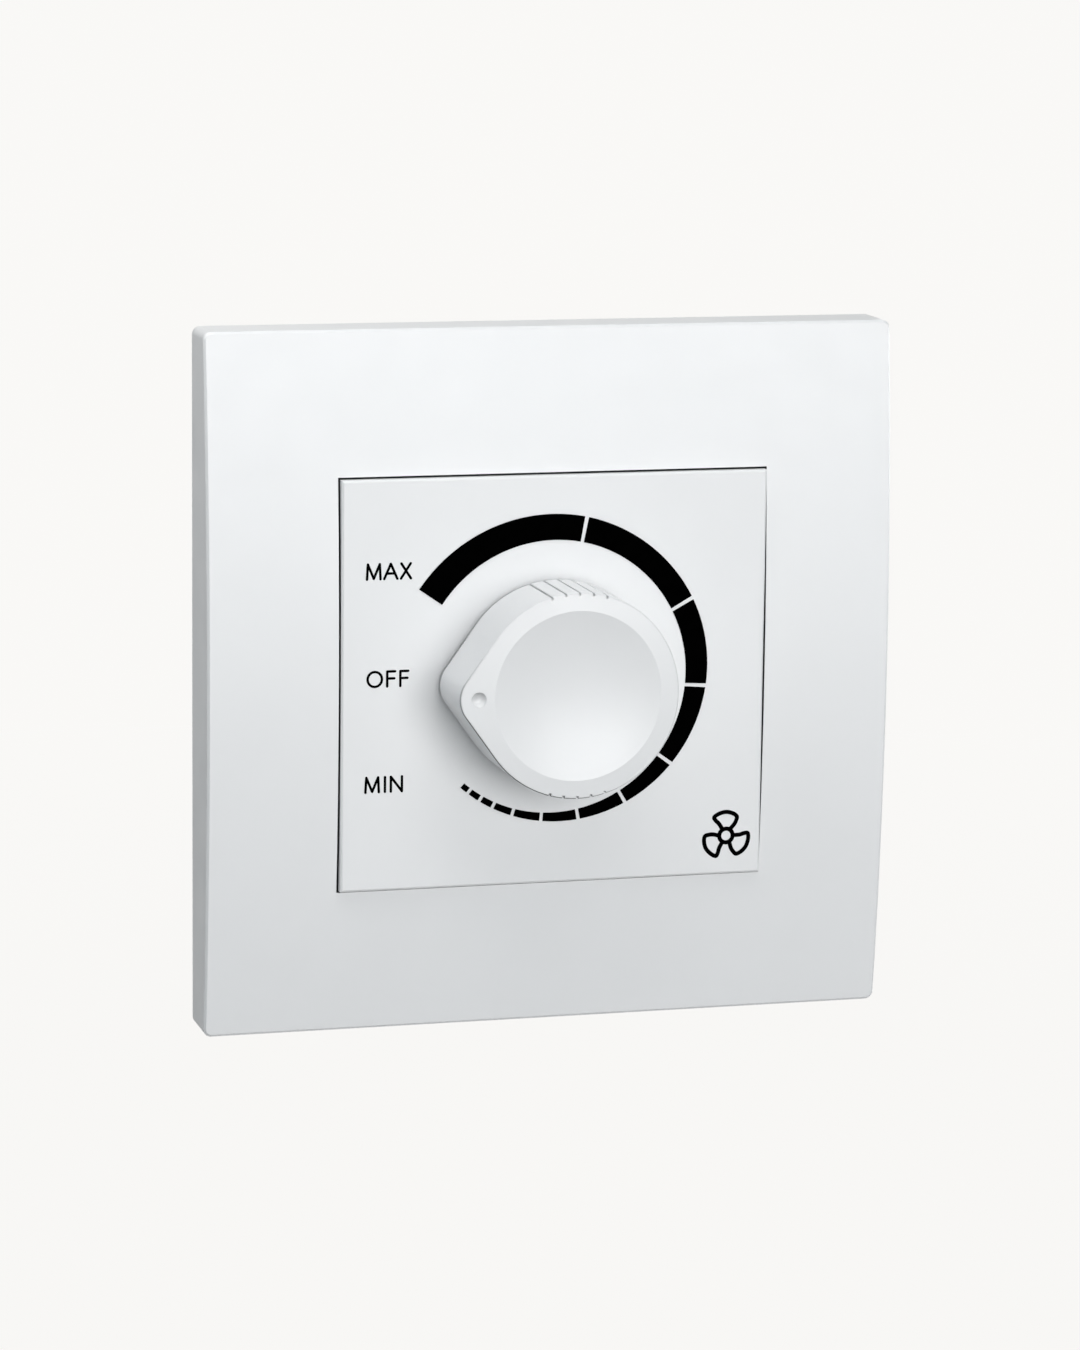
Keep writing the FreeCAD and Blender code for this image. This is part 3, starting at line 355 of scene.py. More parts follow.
def turned_metal(name, colour, roughness):
    """Turned metal with rings about the knob's axis."""
    sheet = Sheet(name)
    place = sheet.place()
    across, deep, up = sheet.split(place)
    rings = (across.diagonal(up) * (TURN / (0.16 * MM)) + deep * (TURN / (0.2 * MM))).sine()
    stain = sheet.noise(place, 300.0, 3.0)
    normal = sheet.bump(rings, 0.004 * MM, 0.5, sheet.soft_edges(0.1 * MM))
    return sheet.surface(Base_Color=sheet.mottled(stain, colour, 0.85), Metallic=1.0,
                         Roughness=sheet.spread(stain, roughness - 0.05, roughness + 0.07), Normal=normal)


def threaded(name, colour, roughness, pitch, head_from, head_to):
    """Plated screw: thread turns on the shank only, as bands along the depth."""
    sheet = Sheet(name)
    place = sheet.place()
    deep = sheet.split(place)[1]
    thread = (deep * (TURN / pitch)).sine()
    head = (deep > head_from) * (deep < head_to)
    stain = sheet.noise(place, 420.0, 3.0)
    normal = sheet.bump(thread * (1 - head), 0.12 * MM, 0.8, sheet.soft_edges(0.12 * MM))
    return sheet.surface(Base_Color=sheet.mottled(stain, colour, 0.84), Metallic=1.0,
                         Roughness=sheet.spread(stain, roughness - 0.05, roughness + 0.08), Normal=normal)


def laminate(name, colour, edge_tone):
    """Phenolic paper board: fibres along x and a darker sawn edge tone in patches."""
    sheet = Sheet(name)
    place = sheet.place()
    fibre = sheet.noise(sheet.stretched(place, (0.12, 1.0, 1.0)), 2400.0, 4.0)
    patch = sheet.noise(place, 110.0, 3.0)
    tone = sheet.blend(sheet.spread(patch), opaque(colour), opaque(edge_tone))
    tone = sheet.painted(sheet.ramp(fibre, 0.35, 0.75, 0.0, 0.35), tone, colour, 1.35)
    return sheet.surface(Base_Color=tone, Roughness=sheet.spread(fibre, 0.38, 0.55),
                         Normal=sheet.bump(fibre, 0.01 * MM, 0.4))


def leaded(name, colour, roughness, leads_mask, bands=()):
    """Component body, with tinned leads where the mask is 1 and optional coloured bands."""
    sheet = Sheet(name)
    place = sheet.place()
    parts = sheet.split(place)
    metal = leads_mask(parts)
    speck = sheet.noise(place, 900.0, 3.0)
    tone = sheet.mottled(speck, colour, 0.9)
    for centre, half_width, band_colour in bands:
        tone = sheet.blend((parts[0] - centre).size() < half_width, tone, opaque(band_colour))
    tone = sheet.blend(metal, tone, opaque(TIN))
    body_rough = sheet.spread(speck, roughness - 0.04, roughness + 0.05)
    normal = sheet.bump(speck, 0.012 * MM, 0.5, sheet.soft_edges(0.15 * MM))
    return sheet.surface(Base_Color=tone, Metallic=metal, Roughness=metal * 0.3 + (1 - metal) * body_rough,
                         Normal=normal)


def wound(name, colour, pitch, radius_from, axis_x, axis_y):
    """Enamelled wire: one ridge per turn along the coil, none on its straight ends, and painted shade between
    the turns.
    """
    sheet = Sheet(name)
    place = sheet.place()
    across, deep, up = sheet.split(place)
    turns = (up * (TURN / pitch)).sine().size()
    outside = (across - axis_x).diagonal(deep - axis_y) > radius_from
    wire = sheet.noise(place, 700.0)
    # Painted shade: the wire is darker between its turns, along its whole length
    tone = sheet.blend(turns, opaque(shade(colour, 0.45)), opaque(colour))
    tone = sheet.painted(sheet.spread(wire, 0.0, 0.3), tone, colour, 1.3)
    normal = sheet.bump(turns * outside, 0.2 * MM)
    return sheet.surface(Base_Color=tone, Metallic=0.7, Roughness=sheet.spread(wire, 0.24, 0.36),
                         Normal=normal, Coat_Weight=0.3, Coat_Roughness=0.1)


def dress(material, *nodes):
    """Give one finish to CAD nodes."""
    for name in nodes:
        node = frame["nodes"][name]
        node.data.materials.clear()
        node.data.materials.append(material)


# Sizes and colours that a user would change


class MouldingSettings(bpy.types.PropertyGroup):
    """White mouldings seen from the room."""

    cover_colour: bpy.props.FloatVectorProperty(
        name="Cover colour", description="Colour of the surround and the dial panel",
        subtype="COLOR", default=(0.86, 0.865, 0.87), min=0.0, max=1.0)
    knob_colour: bpy.props.FloatVectorProperty(
        name="Knob colour", description="Colour of the knob",
        subtype="COLOR", default=(0.86, 0.865, 0.87), min=0.0, max=1.0)
    roughness: bpy.props.FloatProperty(
        name="Roughness", description="Roughness of the satin white mouldings",
        subtype="FACTOR", default=0.38, min=0.0, max=1.0)
    grain: bpy.props.FloatProperty(
        name="Grain depth", description="Depth of the fine mould grain",
        subtype="DISTANCE", default=0.000006, min=0.0, precision=6)
    edge: bpy.props.FloatProperty(
        name="Edge softness", description="Radius over which an edge looks rounded",
        subtype="DISTANCE", default=0.0001, min=0.0, precision=5)
    dish_radius: bpy.props.FloatProperty(
        name="Dish radius", description="Radius from which the knob's rim slopes outwards",
        subtype="DISTANCE", default=0.0105, min=0.0, precision=5)


class PrintSettings(bpy.types.PropertyGroup):
    """Print on the dial panel."""

    ink_colour: bpy.props.FloatVectorProperty(
        name="Ink colour", description="Colour of the print",
        subtype="COLOR", default=(0.0004, 0.0004, 0.0004), min=0.0, max=1.0)
    letter_height: bpy.props.FloatProperty(
        name="Letter height", description="Height of the capitals",
        subtype="DISTANCE", default=0.00216, min=0.0, precision=5)
    letter_stroke: bpy.props.FloatProperty(
        name="Letter stroke", description="Line width of the capitals",
        subtype="DISTANCE", default=0.00031, min=0.0, precision=5)
    symbol_stroke: bpy.props.FloatProperty(
        name="Symbol stroke", description="Line width of the fan symbol",
        subtype="DISTANCE", default=0.00053, min=0.0, precision=5)
    symbol_radius: bpy.props.FloatProperty(
        name="Symbol radius", description="Reach of the fan symbol's blades",
        subtype="DISTANCE", default=0.00302, min=0.0, precision=5)
    thickness: bpy.props.FloatProperty(
        name="Ink thickness", description="How far the print stands proud of the panel",
        subtype="DISTANCE", default=0.00003, min=0.0, precision=6)


class InnerSettings(bpy.types.PropertyGroup):
    """Parts behind the panel."""

    housing_colour: bpy.props.FloatVectorProperty(
        name="Housing colour", description="Colour of the rear housing",
        subtype="COLOR", default=(0.74, 0.74, 0.72), min=0.0, max=1.0)
    steel_colour: bpy.props.FloatVectorProperty(
        name="Steel colour", description="Colour of the zinc-plated steel",
        subtype="COLOR", default=(0.62, 0.63, 0.64), min=0.0, max=1.0)
    brass_colour: bpy.props.FloatVectorProperty(
        name="Brass colour", description="Colour of the brass parts",
        subtype="COLOR", default=(0.78, 0.58, 0.26), min=0.0, max=1.0)
    thread_pitch: bpy.props.FloatProperty(
        name="Thread pitch", description="Pitch of the screws' threads",
        subtype="DISTANCE", default=0.0006, min=0.0, precision=5)


class StageSettings(bpy.types.PropertyGroup):
    """Camera, floor and light."""

    azimuth: bpy.props.FloatProperty(
        name="Azimuth", description="Camera's direction about the vertical",
        subtype="ANGLE", default=math.radians(-15.627))
    elevation: bpy.props.FloatProperty(
        name="Elevation", description="Camera's height above the horizon",
        subtype="ANGLE", default=math.radians(10.489))
    roll: bpy.props.FloatProperty(
        name="Roll", description="Camera's turn about its own axis",
        subtype="ANGLE", default=math.radians(0.706))
    distance: bpy.props.FloatProperty(
        name="Distance", description="Camera's distance from its target",
        subtype="DISTANCE", default=0.5964, min=0.01)
    target: bpy.props.FloatVectorProperty(
        name="Target", description="Point that the camera looks at",
        subtype="XYZ", default=(0.00075, 0.0, -0.00108), precision=5)
    focal_pixels: bpy.props.FloatProperty(
        name="Focal length in pixels", description="Focal length in pixels of the photograph's frame",
        default=4768.0, min=1.0)
    floor_drop: bpy.props.FloatProperty(
        name="Floor drop", description="Gap between the object's lower edge and the floor",
        subtype="DISTANCE", default=0.06, min=0.0)
    background: bpy.props.FloatVectorProperty(
        name="Background", description="Colour that the camera sees behind the object",
        subtype="COLOR", default=(0.949, 0.941, 0.924), min=0.0, max=1.0)
    sky: bpy.props.FloatProperty(
        name="Sky strength", description="Strength of the even light from all round", default=0.11, min=0.0)
    sky_climb: bpy.props.FloatProperty(
        name="Sky climb", description="How much brighter the even light is overhead than at the horizon",
        subtype="FACTOR", default=0.3, min=0.0, max=1.0)
    sky_colour: bpy.props.FloatVectorProperty(
        name="Sky colour", description="Colour of the even light from all round",
        subtype="COLOR", default=(0.55, 0.82, 1.0), min=0.0, max=1.0)
    front: bpy.props.FloatProperty(
        name="Front light", description="Power of the soft light in front, a little to the right, in watts",
        default=3.95, min=0.0)
    top: bpy.props.FloatProperty(
        name="Top light", description="Power of the wide light close above the object, in watts",
        default=0.60, min=0.0)
    left: bpy.props.FloatProperty(
        name="Left light", description="Power of the small light above the object's left edge, in watts",
        default=0.032, min=0.0)
    right: bpy.props.FloatProperty(
        name="Right light", description="Power of the soft light beyond the object's right side, in watts",
        default=3.0, min=0.0)
    rear: bpy.props.FloatProperty(
        name="Rear light", description="Power of the soft light behind the object, in watts",
        default=4.0, min=0.0)


# Print


def side_points(points, closed, half):
    """Points to the left and right of a line that lies in the panel's plane."""
    left, right = [], []
    for index, point in enumerate(points):
        before = points[index - 1] if closed or index else point
        after = points[(index + 1) % len(points)] if closed or index < len(points) - 1 else point
        arriving = (point - before).normalized() if before != point else (after - point).normalized()
        leaving = (after - point).normalized() if after != point else arriving
        middle = (arriving + leaving).normalized()
        reach = half / max(middle.dot(leaving), 0.5)
        side = Vector((-middle.y, middle.x)) * reach
        left.append(point + side)
        right.append(point - side)
    return left, right


def round_end(point, direction, half):
    """Points of a half circle that ends a line, from its left side to its right side."""
    start = math.atan2(direction.x, -direction.y)
    angles = [start - math.pi * step / END_STEPS for step in range(END_STEPS + 1)]
    return [point + Vector((math.cos(angle), math.sin(angle))) * half for angle in angles]


def thicken(drawing, thickness):
    """Close flat ink with a back and side walls, in the same order of faces on every run."""
    fronts = drawing.faces[:]
    borders = [edge for edge in drawing.edges if edge.is_boundary]
    depth = Vector((0.0, thickness, 0.0))
    behind = {point: drawing.verts.new(point.co + depth) for point in drawing.verts[:]}
    for edge in borders:
        start, end = edge.verts
        drawing.faces.new((start, end, behind[end], behind[start]))
    for face in fronts:
        drawing.faces.new([behind[point] for point in face.verts])
    bmesh.ops.recalc_face_normals(drawing, faces=drawing.faces)


def print_on_panel(name, lines, width, thickness, material):
    """Flat ink in the shape of round-ended lines, each (points, closed), on the panel's front face."""
    half = width / 2
    front = panel_box[0].y - thickness
    drawing = bmesh.new()
    for points, closed in lines:
        path = [Vector(point) for point in points]
        left, right = side_points(path, closed, half)
        first = 0 if closed else 1
        patches = [(left[i - 1], left[i], right[i], right[i - 1]) for i in range(first, len(path))]
        if not closed:
            patches.append(round_end(path[-1], (path[-1] - path[-2]).normalized(), half))
            patches.append(round_end(path[0], (path[0] - path[1]).normalized(), half))
        for patch in patches:
            drawing.faces.new([drawing.verts.new((p.x, front, p.y)) for p in patch])
    bmesh.ops.remove_doubles(drawing, verts=drawing.verts, dist=0.0005 * MM)
    thicken(drawing, thickness)
    mesh = bpy.data.meshes.new(name)
    drawing.to_mesh(mesh)
    drawing.free()
    mesh.materials.append(material)
    piece = bpy.data.objects.new(name, mesh)
    bpy.context.scene.collection.objects.link(piece)
    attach(piece, "fixed")


def ring(centre_x, centre_z, radius_x, radius_z, steps):
    """Points of an ellipse that faces the room."""
    angles = [TURN * step / steps for step in range(steps)]
    return [(centre_x + radius_x * math.cos(a), centre_z + radius_z * math.sin(a)) for a in angles]


# Straight strokes of the capitals, in shares of each letter's width and height
LETTERS = {
    "A": [((0.0, 0.0), (0.5, 1.0)), ((0.5, 1.0), (1.0, 0.0)), ((0.19, 0.36), (0.81, 0.36))],
    "F": [((0.0, 0.0), (0.0, 1.0)), ((0.0, 1.0), (1.0, 1.0)), ((0.0, 0.53), (0.9, 0.53))],
    "I": [((0.5, 0.0), (0.5, 1.0))],
    "M": [((0.0, 0.0), (0.06, 1.0)), ((0.06, 1.0), (0.5, 0.04)), ((0.5, 0.04), (0.94, 1.0)),
          ((0.94, 1.0), (1.0, 0.0))],
    "N": [((0.0, 0.0), (0.0, 1.0)), ((0.0, 1.0), (1.0, 0.0)), ((1.0, 0.0), (1.0, 1.0))],
    "X": [((0.0, 0.0), (0.97, 1.0)), ((0.03, 1.0), (1.0, 0.0))],
}


def letter_lines(letter, left, width, foot, height, stroke):
    """Centre lines of one capital whose outer edges fill the given box."""
    half = stroke / 2
    inner_width = width - stroke
    inner_height = height - stroke
    if letter == "O":
        centre = (left + width / 2, foot + height / 2)
        return [(ring(*centre, inner_width / 2, inner_height / 2, LETTER_STEPS), True)]
    lines = []
    for stroke_ends in LETTERS[letter]:
        path = [(left + half + u * inner_width, foot + half + v * inner_height) for u, v in stroke_ends]
        lines.append((path, False))
    return lines


# Outline of a fan blade in shares of its reach, and the end of that outline in shares of the hub's radius
BLADE = ((-0.30, 0.50), (-0.46, 0.66), (-0.52, 0.80), (-0.30, 0.94), (0.0, 1.0),
         (0.28, 0.93), (0.46, 0.79), (0.43, 0.62), (0.34, 0.45))
BLADE_ROOT = (0.52, 0.86)


def on_curve(before, start, end, after, share):
    """Point of the smooth line through four points, between the second and the third."""
    once = (end - before) * share
    twice = (2 * before - 5 * start + 4 * end - after) * share ** 2
    thrice = (3 * start - before - 3 * end + after) * share ** 3
    return 0.5 * (2 * start + once + twice + thrice)


def blade_lines(centre, reach, hub, turn):
    """Outline of one fan blade: narrow at the hub, wide and round at its end, swept to one side."""
    root_x, root_y = (share * hub for share in BLADE_ROOT)
    knots = [Vector((-root_x, root_y)), *(Vector(knot) * reach for knot in BLADE), Vector((root_x, root_y))]
    smooth = []
    for index in range(len(knots) - 1):
        before = knots[max(index - 1, 0)]
        after = knots[min(index + 2, len(knots) - 1)]
        for step in range(BLADE_STEPS):
            smooth.append(on_curve(before, knots[index], knots[index + 1], after, step / BLADE_STEPS))
    smooth.append(knots[-1])
    cosine, sine = math.cos(turn), math.sin(turn)
    return [(centre[0] + p.x * cosine - p.y * sine, centre[1] + p.x * sine + p.y * cosine) for p in smooth]


# Operators


class CoverOperator(bpy.types.Operator):
    """Finish the surround, the dial panel and the grid behind them"""

    bl_idname = "fan_control.cover"
    bl_label = "Surround and Panel"

    def execute(self, context):
        made = context.scene.fan_mouldings
        corner = panel_box[1]
        # Place of the painted shade in the gap round the panel
        gap_shade = (corner.x + SEAM_REACH, corner.z + SEAM_REACH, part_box("surround_frame")[0].y)
        dress(moulded("cover_moulding", made.cover_colour, made.roughness, made.grain, made.edge, gap_shade),
              "surround_frame", "dial_panel")
        dress(moulded("grid_moulding", shade(made.cover_colour, 0.94), made.roughness + 0.1, made.grain * 2,
                      made.edge), "mounting_grid")
        return {"FINISHED"}


class KnobOperator(bpy.types.Operator):
    """Finish the pointer knob and its grip spring"""

    bl_idname = "fan_control.knob"
    bl_label = "Knob"

    def execute(self, context):
        made = context.scene.fan_mouldings
        low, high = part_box("knob")
        dress(knob_moulding("knob_moulding", made.knob_colour, made.roughness - 0.03, made.grain, made.edge,
                            made.dish_radius, low.y, high.y), "knob")
        dress(rolled("knob_spring_strip", (0.6, 0.6, 0.58), 0.3, 1, 0.05 * MM), "knob_spring")
        return {"FINISHED"}


class SpeedBandOperator(bpy.types.Operator):
    """Ink the printed speed band"""

    bl_idname = "fan_control.speed_band"
    bl_label = "Speed Band"

    def execute(self, context):
        dress(ink("band_ink", context.scene.fan_print.ink_colour), "scale_print")
        return {"FINISHED"}


class LegendsOperator(bpy.types.Operator):
    """Print the words beside the knob, one at each of its three marks"""

    bl_idname = "fan_control.legends"
    bl_label = "Words"

    words = {
        "MAX": (13.18, [("M", -24.0, 2.0), ("A", -21.85, 1.95), ("X", -19.75, 1.55)]),
        "OFF": (-0.1, [("O", -23.85, 2.1), ("F", -21.4, 1.3), ("F", -19.75, 1.3)]),
        "MIN": (-13.22, [("M", -24.05, 2.0), ("I", -21.6, 0.31), ("N", -20.85, 1.7)]),
    }

    def execute(self, context):
        made = context.scene.fan_print
        material = ink("legend_ink", made.ink_colour)
        for word, (foot, letters) in self.words.items():
            lines = []
            for letter, left, width in letters:
                lines += letter_lines(letter, left * MM, width * MM, foot * MM, made.letter_height,
                                      made.letter_stroke)
            print_on_panel("legend_" + word.lower(), lines, made.letter_stroke, made.thickness, material)
        return {"FINISHED"}


class SymbolOperator(bpy.types.Operator):
    """Print a plain three-bladed fan symbol at the panel's lower right"""

    bl_idname = "fan_control.symbol"
    bl_label = "Fan Symbol"

    centre = (22.5 * MM, -20.6 * MM)
    hub_share = 0.292
    blade_count = 3

    def execute(self, context):
        made = context.scene.fan_print
        reach = made.symbol_radius
        hub = reach * self.hub_share
        lines = [(ring(*self.centre, hub, hub, HUB_STEPS), True)]
        for index in range(self.blade_count):
            lines.append((blade_lines(self.centre, reach, hub, TURN * index / self.blade_count), False))
        material = ink("symbol_ink", made.ink_colour)
        print_on_panel("fan_symbol", lines, made.symbol_stroke, made.thickness, material)
        return {"FINISHED"}


class HousingOperator(bpy.types.Operator):
    """Finish the rear housing, the heat sink and the screws that hold them"""

    bl_idname = "fan_control.housing"
    bl_label = "Rear Housing"

    def execute(self, context):
        made = context.scene.fan_inner
        dress(moulded("housing_moulding", made.housing_colour, 0.55, 0.016 * MM, 0.3 * MM), "rear_housing")
        dress(rolled("sink_sheet", (0.80, 0.81, 0.82), 0.32, 2, 0.1 * MM), "heat_sink")
        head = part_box("housing_screws")[0].y
        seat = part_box("heat_sink")[0].y
        dress(threaded("housing_screw_steel", made.steel_colour, 0.3, made.thread_pitch, head - MM, seat),
              "housing_screws")
        return {"FINISHED"}


class PotentiometerOperator(bpy.types.Operator):
    """Finish the potentiometer's case, bushing, nut, shaft, rotor, wiper, wafer and lugs"""

    bl_idname = "fan_control.potentiometer"
    bl_label = "Potentiometer"

    def execute(self, context):
        made = context.scene.fan_inner
        dress(moulded("pot_moulding", (0.035, 0.035, 0.038), 0.5, 0.012 * MM, 0.15 * MM),
              "pot_case", "pot_rotor")
        dress(turned_metal("bushing_brass", made.brass_colour, 0.28), "pot_bushing")
        dress(rolled("nut_steel", made.steel_colour, 0.3, 1, 0.15 * MM), "pot_nut")
        dress(turned_metal("shaft_metal", (0.74, 0.75, 0.76), 0.26), "pot_shaft")
        dress(rolled("wiper_bronze", (0.72, 0.45, 0.22), 0.3, 0, 0.05 * MM), "wiper_contact")
        dress(laminate("wafer_laminate", (0.20, 0.085, 0.03), (0.13, 0.05, 0.02)), "track_wafer")
        dress(rolled("lug_tin", (0.72, 0.72, 0.68), 0.32, 1, 0.05 * MM), "pot_terminals")
        return {"FINISHED"}


class SwitchOperator(bpy.types.Operator):
    """Finish the off switch behind the potentiometer"""

    bl_idname = "fan_control.off_switch"
    bl_label = "Off Switch"

    def execute(self, context):
        made = context.scene.fan_inner
        dress(moulded("switch_moulding", (0.045, 0.045, 0.05), 0.5, 0.012 * MM, 0.15 * MM), "switch_base")
        dress(moulded("cam_moulding", (0.70, 0.70, 0.66), 0.4, 0.008 * MM, 0.12 * MM), "switch_cam")
        dress(rolled("leaf_bronze", (0.74, 0.47, 0.24), 0.28, 2, 0.04 * MM), "switch_leaf")
        dress(rolled("contact_brass", made.brass_colour, 0.3, 2, 0.05 * MM), "switch_fixed_contact")
        return {"FINISHED"}


class BoardOperator(bpy.types.Operator):
    """Finish the circuit board and everything that stands on it"""

    bl_idname = "fan_control.board"
    bl_label = "Circuit Board"

    wire_pitch = 0.9 * MM
    lead_gap = 0.3 * MM
    # Body colour and length of the parts that lie down, and the place, half width and colour of each band
    lying = (
        ("resistors", (0.62, 0.46, 0.26), 6.2, (
            (-1.9, 0.25, (0.35, 0.12, 0.03)), (-0.8, 0.25, (0.01, 0.01, 0.01)),
            (0.3, 0.25, (0.55, 0.40, 0.02)), (1.9, 0.25, (0.45, 0.33, 0.12)))),
        ("diac", (0.03, 0.08, 0.25), 3.8, ((-1.1, 0.2, (0.6, 0.6, 0.6)),)),
    )

    def execute(self, context):
        dress(laminate("board_laminate", (0.34, 0.20, 0.075), (0.26, 0.145, 0.05)), "circuit_board")
        self.triac(context.scene.fan_inner)
        self.choke()
        self.capacitors()
        self.axial_parts()
        return {"FINISHED"}

    def triac(self, made):
        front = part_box("triac")[0].y
        pad_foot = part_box("thermal_pad")[0].z
        tab_thickness, package_height = 1.35 * MM, 9.05 * MM

        def metal(parts):
            tab = (parts[1] < front + tab_thickness) * (parts[2] > pad_foot + package_height)
            return tab.larger(parts[2] < pad_foot - 0.02 * MM)

        dress(leaded("triac_package", (0.03, 0.03, 0.033), 0.45, metal), "triac")
        dress(moulded("pad_silicone", (0.42, 0.47, 0.52), 0.7, 0.02 * MM, 0.05 * MM), "thermal_pad")
        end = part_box("triac_screw")[1].y
        dress(threaded("triac_screw_steel", made.steel_colour, 0.3, made.thread_pitch, front + 1.3 * MM,
                       end + MM), "triac_screw")

    def choke(self):
        low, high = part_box("choke_core")
        centre = (low + high) / 2
        dress(moulded("core_ferrite", (0.05, 0.05, 0.055), 0.45, 0.03 * MM, 0.2 * MM), "choke_core")
        coil_low, coil_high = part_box("choke_winding")
        outside = 0.9 * (coil_high.x - coil_low.x) / 2
        dress(wound("choke_wire", (0.55, 0.20, 0.06), self.wire_pitch, outside, centre.x, centre.y),
              "choke_winding")

    def capacitors(self):
        low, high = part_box("circuit_board")

        def behind(parts):
            return parts[1] < high.y + self.lead_gap

        def before(parts):
            return parts[1] > low.y - self.lead_gap

        dress(leaded("suppression_case", (0.80, 0.42, 0.02), 0.32, behind), "suppression_capacitor")
        dress(leaded("fuse_case", (0.04, 0.04, 0.045), 0.35, behind), "fuse")
        dress(leaded("timing_case", (0.42, 0.05, 0.03), 0.25, before), "timing_capacitor")

    def axial_parts(self):
        for node, colour, length, bands in self.lying:
            low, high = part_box(node)
            centre = (low.x + high.x) / 2
            half = length / 2 * MM

            def ends(parts, centre=centre, half=half):
                return (parts[0] - centre).size() > half

            stripes = [(centre + place * MM, width * MM, tone) for place, width, tone in bands]
            dress(leaded(node + "_lacquer", colour, 0.35, ends, stripes), node)


class TerminalsOperator(bpy.types.Operator):
    """Finish the terminal block, its bars, cages and clamping screws"""

    bl_idname = "fan_control.terminals"
    bl_label = "Terminals"

    head_height = 2.0 * MM

    def execute(self, context):
        made = context.scene.fan_inner
        dress(moulded("terminal_moulding", (0.10, 0.10, 0.11), 0.5, 0.016 * MM, 0.25 * MM), "terminal_block")
        dress(rolled("bar_brass", made.brass_colour, 0.3, 1, 0.1 * MM), "terminal_bar_1", "terminal_bar_2")
        dress(rolled("cage_brass", made.brass_colour, 0.34, 2, 0.15 * MM),
              "terminal_cage_1", "terminal_cage_2")
        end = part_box("terminal_screw_1")[1].y
        head = end - self.head_height
        dress(threaded("clamp_screw_steel", made.steel_colour, 0.28, made.thread_pitch, head, end + MM),
              "terminal_screw_1", "terminal_screw_2")
        return {"FINISHED"}


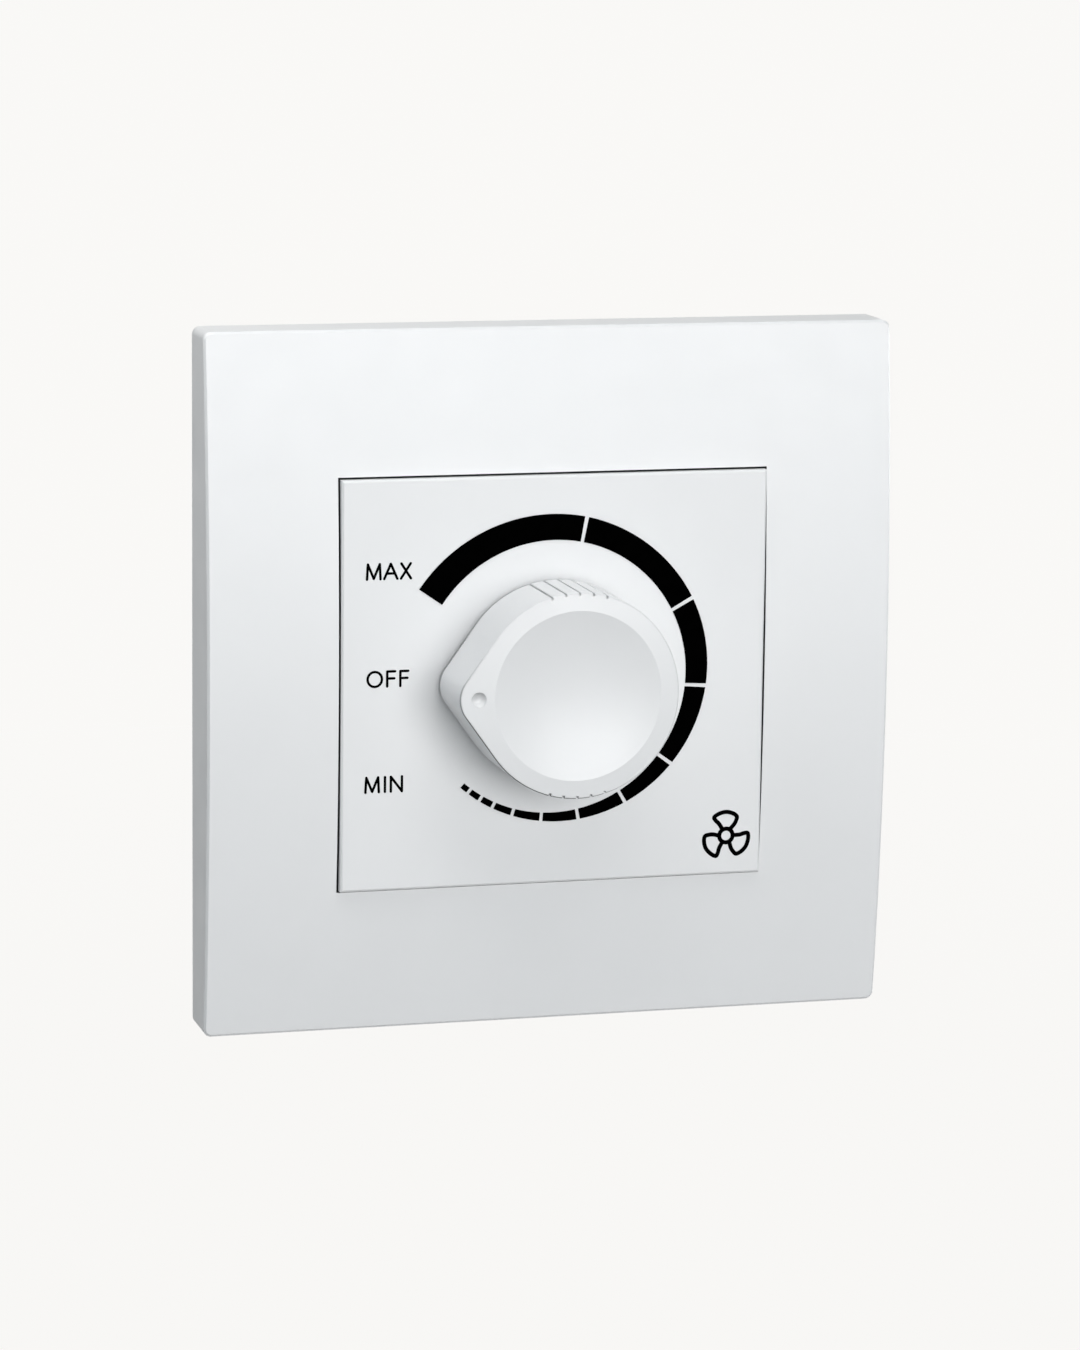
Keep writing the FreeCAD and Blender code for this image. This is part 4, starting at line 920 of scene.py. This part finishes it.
class StageOperator(bpy.types.Operator):
    """Set the camera, the pale floor and backdrop, and the soft light"""

    bl_idname = "fan_control.stage"
    bl_label = "Stage"

    def execute(self, context):
        made = context.scene.fan_stage
        self.camera(context, made)
        self.floor(context, made)
        self.lights(context, made)
        self.world(context, made)
        context.scene.view_settings.view_transform = "Standard"
        return {"FINISHED"}

    def camera(self, context, made):
        azimuth, elevation, roll = made.azimuth, made.elevation, made.roll
        back = Vector((math.sin(azimuth) * math.cos(elevation), -math.cos(azimuth) * math.cos(elevation),
                       math.sin(elevation)))
        right = (-back).cross(Vector((0.0, 0.0, 1.0))).normalized()
        up = right.cross(-back)
        across = right * math.cos(roll) + up * math.sin(roll)
        high = up * math.cos(roll) - right * math.sin(roll)
        data = bpy.data.cameras.new("camera")
        data.sensor_fit = "VERTICAL"
        data.lens = made.focal_pixels / IMAGE_HEIGHT * data.sensor_height
        data.clip_start = 0.01
        data.clip_end = 20.0
        camera = bpy.data.objects.new("camera", data)
        context.scene.collection.objects.link(camera)
        camera.matrix_world = Matrix((across, high, back)).transposed().to_4x4()
        camera.location = Vector(made.target) + back * made.distance
        context.scene.camera = camera

    def floor(self, context, made):
        """A floor that curves up into a backdrop well behind the object."""
        level = cad_box[0].z - made.floor_drop
        half_width, height = 3.0, 2.4
        near, bend_start, radius = -2.0, 1.2, 0.6
        profile = [(near, level), (bend_start, level)]
        steps = 12
        for step in range(1, steps + 1):
            angle = math.pi / 2 * step / steps
            profile.append((bend_start + radius * math.sin(angle), level + radius * (1 - math.cos(angle))))
        profile.append((bend_start + radius, level + height))
        vertices = [(side * half_width, y, z) for y, z in profile for side in (-1, 1)]
        faces = [(2 * i, 2 * i + 1, 2 * i + 3, 2 * i + 2) for i in range(len(profile) - 1)]
        mesh = bpy.data.meshes.new("floor")
        mesh.from_pydata(vertices, [], faces)
        for polygon in mesh.polygons:
            polygon.use_smooth = True
        mesh.materials.append(self.floor_paint(made))
        floor = bpy.data.objects.new("floor", mesh)
        context.scene.collection.objects.link(floor)

    def floor_paint(self, made):
        """Matt paint that takes shadows, and shows the background's own colour to the camera and to gloss."""
        sheet = Sheet("floor_paint")
        matt = sheet.add("ShaderNodeBsdfDiffuse", inputs={"Color": (0.45, 0.45, 0.45, 1.0)})
        plain = sheet.add("ShaderNodeEmission", inputs={"Color": opaque(made.background), "Strength": 1.0})
        reach = sheet.add("ShaderNodeVectorMath", {"operation": "LENGTH"}, {0: sheet.place()}, output=1)
        share = sheet.seen_plainly() * sheet.ramp(reach, 0.25, 0.5, 0.985, 1.0)
        return sheet.finish(sheet.add("ShaderNodeMixShader", inputs={0: share, 1: matt, 2: plain}))

    def lights(self, context, made):
        """Soft rectangles that face the origin and that the camera doesn't see."""
        for name, place, width, depth, power, colour in (
                ("front_light", (0.13, -0.80, 0.12), 0.55, 0.44, made.front, (1.0, 0.995, 0.99)),
                ("top_light", (-0.07, -0.058, 0.27), 0.60, 0.12, made.top, (1.0, 0.975, 0.955)),
                ("left_light", (-0.13, -0.05, 0.13), 0.06, 0.06, made.left, (1.0, 1.0, 1.0)),
                ("right_light", (0.66, 0.58, -0.02), 0.70, 0.12, made.right, (1.0, 1.0, 1.0)),
                ("rear_light", (0.38, 0.80, -0.02), 0.75, 0.12, made.rear, (1.0, 1.0, 1.0))):
            data = bpy.data.lights.new(name, "AREA")
            data.shape = "RECTANGLE"
            data.size = width
            data.size_y = depth
            data.energy = power
            data.color = colour
            light = bpy.data.objects.new(name, data)
            light.visible_camera = False
            context.scene.collection.objects.link(light)
            light.location = place
            light.rotation_euler = (-Vector(place)).to_track_quat("-Z", "Y").to_euler()

    def world(self, context, made):
        """Even light that the camera sees as the background's own colour."""
        sheet = Sheet("studio", "worlds", "ShaderNodeOutputWorld")
        height = sheet.split(sheet.add("ShaderNodeTexCoord"))[2]
        lowest, highest = made.sky * (1 - made.sky_climb), made.sky * (1 + made.sky_climb)
        strength = sheet.ramp(height, -1.0, 1.0, lowest, highest)
        light = sheet.add("ShaderNodeBackground",
                          inputs={"Color": opaque(made.sky_colour), "Strength": strength})
        plain = sheet.add("ShaderNodeBackground",
                          inputs={"Color": opaque(made.background), "Strength": 1.0})
        mixed = sheet.add("ShaderNodeMixShader", inputs={0: sheet.seen_plainly(), 1: light, 2: plain})
        context.scene.world = sheet.finish(mixed)


OPERATORS = (
    CoverOperator, KnobOperator, SpeedBandOperator, LegendsOperator, SymbolOperator, HousingOperator,
    PotentiometerOperator, SwitchOperator, BoardOperator, TerminalsOperator, StageOperator,
)
SETTINGS = {
    "fan_mouldings": MouldingSettings,
    "fan_print": PrintSettings,
    "fan_inner": InnerSettings,
    "fan_stage": StageSettings,
}


class FanControlPanel(bpy.types.Panel):
    """Sidebar panel with the settings and the operators in order"""

    bl_idname = "VIEW3D_PT_fan_control"
    bl_label = "Fan Control"
    bl_space_type = "VIEW_3D"
    bl_region_type = "UI"
    bl_category = "Fan Control"

    def draw(self, context):
        for name, group in SETTINGS.items():
            box = self.layout.box()
            box.label(text=group.__doc__)
            for key in group.__annotations__:
                box.prop(getattr(context.scene, name), key)
        for operator in OPERATORS:
            self.layout.operator(operator.bl_idname)


def register():
    for group in (*SETTINGS.values(), *OPERATORS, FanControlPanel):
        bpy.utils.register_class(group)
    for name, group in SETTINGS.items():
        setattr(bpy.types.Scene, name, bpy.props.PointerProperty(type=group))


def unregister():
    for name in SETTINGS:
        delattr(bpy.types.Scene, name)
    for group in reversed((*SETTINGS.values(), *OPERATORS, FanControlPanel)):
        bpy.utils.unregister_class(group)


def main():
    """Build the looks in order."""
    register()
    for operator in OPERATORS:
        family, name = operator.bl_idname.split(".")
        getattr(getattr(bpy.ops, family), name)()


if __name__ == "__main__":
    main()
